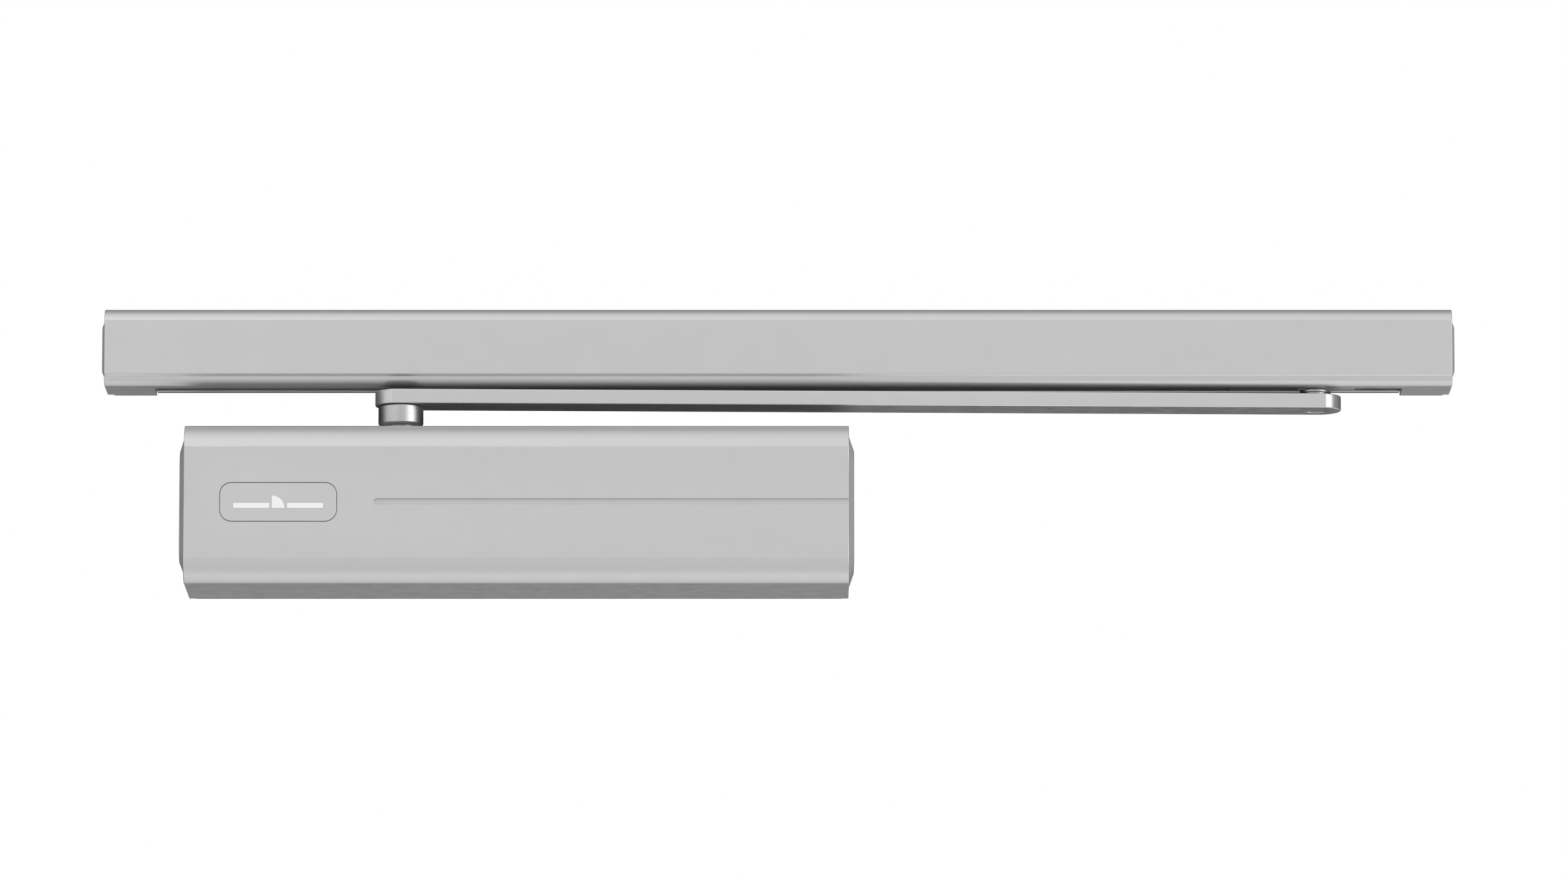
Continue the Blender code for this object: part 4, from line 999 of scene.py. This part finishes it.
def make_slide_block():
    """The glider in the track, its neck in the slot, the tail below it and the stop at its end."""
    low, high = corners("slide_block")
    right = PIN.x + BLOCK_RIGHT
    inner_low = TRACK_FRONT_BOTTOM + TRACK_WALL + SLIDE_FIT
    joined_at = inner_low + BLOCK_OVERLAP
    neck_front = SLOT_FRONT + SLIDE_FIT
    neck_back = SLOT_BACK - SLIDE_FIT
    neck_bottom = RAIL_LOW.z + RAIL_WALL + SLIDE_FIT
    block = rounded_box("glider", (low.x, low.y, inner_low), (right, high.y, high.z), BLOCK_EDGE)
    neck = rounded_box(
        "neck",
        (low.x + NECK_INSET, neck_front, neck_bottom),
        (right - NECK_INSET, neck_back, joined_at),
        NECK_EDGE,
    )
    tail = rounded_box(
        "tail",
        (low.x + TAIL_INSET[0], TAIL_FRONT, low.z),
        (PIN.x + TAIL_RIGHT, neck_back - TAIL_INSET[1], joined_at),
        TAIL_EDGE,
    )
    stop = rounded_box(
        "stop",
        (right - STOP_ROOT, neck_front + STOP_INSET, neck_bottom + NECK_INSET),
        (high.x, neck_back - STOP_INSET, inner_low + STOP_RISE),
        TAIL_EDGE,
    )
    join(block, neck, tail, stop)
    radius, bottom, top = BLOCK_BORE
    bore = ((0, bottom), (radius, bottom), (radius, top), (0, top))
    cut(block, turned("block_bore", "Z", PIN, bore, sides=SMALL))
    finished(block, "slide_block")


def make_track():
    low, high = corners("guide_rail")
    wall = TRACK_WALL
    lip_top = TRACK_FRONT_BOTTOM + wall
    outer = [
        (0, high.z),
        (low.y, high.z),
        (low.y, TRACK_FRONT_BOTTOM),
        (SLOT_FRONT, TRACK_FRONT_BOTTOM),
        (SLOT_FRONT, lip_top),
        (low.y + wall, lip_top),
        (low.y + wall, TRACK_WEB),
        (-wall, TRACK_WEB),
        (-wall, lip_top),
        (SLOT_BACK, lip_top),
        (SLOT_BACK, low.z),
        (0, low.z),
    ]
    outer = soften([Vector(point) for point in outer], TRACK_CORNER)
    chamber_low = (low.y + wall, TRACK_WEB + wall)
    chamber = rounded_rectangle(chamber_low, (-wall, high.z - wall), CHAMBER_CORNER)
    loops = [outer, list(reversed(chamber))]
    profile = rounded_bar(low.x, high.x, TRACK_EDGE, steps=2)
    finished(drawn("track", "X", loops, profile, holes_follow=1.0), "guide_rail")


def make_rail_cover():
    shell = shell_of(rail_section, RAIL_WALL)
    profile = rounded_bar(RAIL_LOW.x, RAIL_HIGH.x, RAIL_EDGE)
    cover = drawn("rail_shell", "X", [shell], profile)
    left = RAIL_LOW.x + WINDOW_FROM_END
    right = RAIL_HIGH.x - WINDOW_FROM_END
    window_loop = rounded_rectangle((left, WINDOW_FRONT), (right, WINDOW_BACK), WINDOW_CORNER)
    low = RAIL_LOW.z
    inside = low + RAIL_WALL + THROUGH
    window_profile = [(-WINDOW_EDGE, low - PAST), (-WINDOW_EDGE, low)]
    window_profile += [(0, low + WINDOW_EDGE), (0, inside)]
    window = drawn("window", "Z", [window_loop], window_profile)
    notches = []
    for side, end in ((-1, RAIL_LOW.x), (1, RAIL_HIGH.x)):
        near, far = sorted((end + side * THROUGH, end - side * RAIL_NOTCH[0]))
        corner = (near, -RAIL_NOTCH[1], low - THROUGH)
        notches.append(rounded_box("notch", corner, (far, THROUGH, inside), NOTCH_CORNER))
    finished(cut(cover, window, *notches), "rail_cover")


def make_rail_caps():
    section = rail_section(RAIL_WALL + CAP_FIT, -CAP_FIT)
    sizes = (RAIL_CAP_PROUD, RAIL_CAP_THICKNESS, RAIL_CAP_RIM, RAIL_CAP_BEVEL)
    middle = (RAIL_LOW.x + RAIL_HIGH.x) / 2
    half = (RAIL_HIGH.x - RAIL_LOW.x) / 2
    for side, word in ((-1, "left"), (1, "right")):
        node = "rail_end_cap_" + word
        end_cap("rail_cap_" + word, node, section, side, half + side * middle, sizes)


def make_end_fittings():
    """At each end, the block with its tongue in the track and its screw hole, and the buffer."""
    track_low, track_high = corners("guide_rail")
    wall = TRACK_WALL + SLIDE_FIT
    for side, word in ((-1, "left"), (1, "right")):
        node = "rail_end_block_" + word
        low, high = corners(node)
        track_end = track_high.x if side > 0 else track_low.x
        inner = track_end + side * SLIDE_FIT
        outer = high.x if side > 0 else low.x
        near, far = sorted((track_end, outer))
        name = "end_block_" + word
        block = rounded_box(name, (near, low.y, low.z), (far, high.y, high.z), END_BLOCK_EDGE)
        tip = low.x if side > 0 else high.x
        near, far = sorted((tip, inner + side * TONGUE_OVERLAP))
        tongue = rounded_box(
            "tongue",
            (near, track_low.y + wall, TRACK_FRONT_BOTTOM + wall),
            (far, -wall, TRACK_WEB - SLIDE_FIT),
            TONGUE_EDGE,
        )
        join(block, tongue)
        middle = ((inner + outer) / 2, END_HOLE_Z)
        finished(cut(block, turned("end_hole", "Y", middle, END_HOLE, sides=SMALL)), node)
        pad_low, pad_high = corners("rail_buffer_" + word)
        pad = rounded_box("buffer_" + word, tuple(pad_low), tuple(pad_high), BUFFER_EDGE)
        finished(pad, "rail_buffer_" + word)


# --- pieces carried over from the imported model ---


def refine(node):
    """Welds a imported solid, breaks its sharp edges and gives it its own finish."""
    item = frame["nodes"][node]
    weld = item.modifiers.new("Weld", "WELD")
    weld.merge_threshold = REFINED_WELD
    edge = item.modifiers.new("Edges", "BEVEL")
    edge.width = REFINED_EDGE * MM
    edge.segments = 2
    edge.limit_method = "ANGLE"
    edge.angle_limit = REFINED_ANGLE
    for index in range(len(item.material_slots)):
        item.material_slots[index].material = MATERIALS[SLOT_OF[node]]


def refine_the_rest():
    for name, item in frame["nodes"].items():
        if not item.hide_render:
            refine(name)


# --- camera, light and floor ---


def make_camera():
    camera = bpy.data.cameras.new("camera")
    camera.sensor_width = CAMERA_SENSOR
    camera.lens = CAMERA_LENS
    camera.clip_end = CAMERA_REACH
    item = bpy.data.objects.new("camera", camera)
    item.location = CAMERA_PLACE
    item.rotation_euler = (math.radians(90 + CAMERA_TILT), 0, 0)
    bpy.context.scene.collection.objects.link(item)
    bpy.context.scene.camera = item


def lit_share(tree, direction, start, end):
    """How far a direction of the sky lies within a soft-edged cap, from 0 to 1."""
    place = tree.nodes.new("ShaderNodeTexCoord")
    dot = tree.nodes.new("ShaderNodeVectorMath")
    dot.operation = "DOT_PRODUCT"
    dot.inputs[1].default_value = Vector(direction).normalized()
    tree.links.new(place.outputs["Generated"], dot.inputs[0])
    ramp = tree.nodes.new("ShaderNodeMapRange")
    ramp.interpolation_type = "SMOOTHSTEP"
    ramp.inputs["From Min"].default_value = start
    ramp.inputs["From Max"].default_value = end
    tree.links.new(dot.outputs["Value"], ramp.inputs["Value"])
    return ramp.outputs[0]


def calculated(tree, operation, first, second):
    node = tree.nodes.new("ShaderNodeMath")
    node.operation = operation
    for socket, value in zip(node.inputs, (first, second)):
        if isinstance(value, bpy.types.NodeSocket):
            tree.links.new(value, socket)
        else:
            socket.default_value = value
    return node.outputs[0]


def make_world():
    """A soft studio: broad light in front and below, and a narrow, brighter patch to the right."""
    world = bpy.data.worlds.new("studio")
    bpy.context.scene.world = world
    world.use_nodes = True
    tree = world.node_tree
    total = AMBIENT
    for direction, start, end, brightness in SKY:
        share = lit_share(tree, direction, start, end)
        total = calculated(tree, "ADD", calculated(tree, "MULTIPLY", share, brightness), total)
    sky = tree.nodes["Background"]
    tree.links.new(total, sky.inputs["Strength"])
    sky.inputs["Color"].default_value = (1, 1, 1, 1)
    backdrop = tree.nodes.new("ShaderNodeBackground")
    backdrop.inputs["Color"].default_value = (1, 1, 1, 1)
    rays = tree.nodes.new("ShaderNodeLightPath")
    choice = tree.nodes.new("ShaderNodeMixShader")
    tree.links.new(rays.outputs["Is Camera Ray"], choice.inputs[0])
    tree.links.new(sky.outputs[0], choice.inputs[1])
    tree.links.new(backdrop.outputs[0], choice.inputs[2])
    tree.links.new(choice.outputs[0], tree.nodes["World Output"].inputs["Surface"])
    bpy.context.scene.view_settings.view_transform = "Standard"


def make_key_light():
    light = bpy.data.lights.new("key", "AREA")
    light.shape = "DISK"
    light.size = KEY_SIZE
    light.energy = KEY_POWER
    item = bpy.data.objects.new("key", light)
    item.visible_camera = False
    item.location = KEY_PLACE
    item.rotation_euler = (-Vector(KEY_PLACE)).to_track_quat("-Z", "Y").to_euler()
    bpy.context.scene.collection.objects.link(item)


def make_floor():
    """A pale floor far below, lit on its own so that it doesn't tint or shade the object."""
    work = bmesh.new()
    bmesh.ops.create_circle(work, cap_ends=True, segments=FLOOR_SIDES, radius=FLOOR_RADIUS)
    floor = new_piece("floor", work)
    floor.location = (0, 0, FLOOR_HEIGHT)
    finish = Finish("floor_paint", 0.0, 0.8)
    finish.colour(finish.mixed(finish.noise(900.0), grey(0.82), grey(0.84)))
    finish.shader.inputs["Emission Color"].default_value = (1, 1, 1, 1)
    finish.shader.inputs["Emission Strength"].default_value = FLOOR_GLOW
    floor.data.materials.append(finish.material)
    floor.visible_diffuse = False
    floor.visible_glossy = False
    floor.visible_shadow = False


make_camera()
make_world()
make_key_light()
make_floor()
make_body_cover()
make_badge()
make_cover_caps()
make_mounting_plate()
make_main_spring()
make_arm_bar()
make_collar()
make_spindle()
make_arm_screw()
make_slide_pin()
make_slide_block()
make_track()
make_rail_cover()
make_rail_caps()
make_end_fittings()
refine_the_rest()
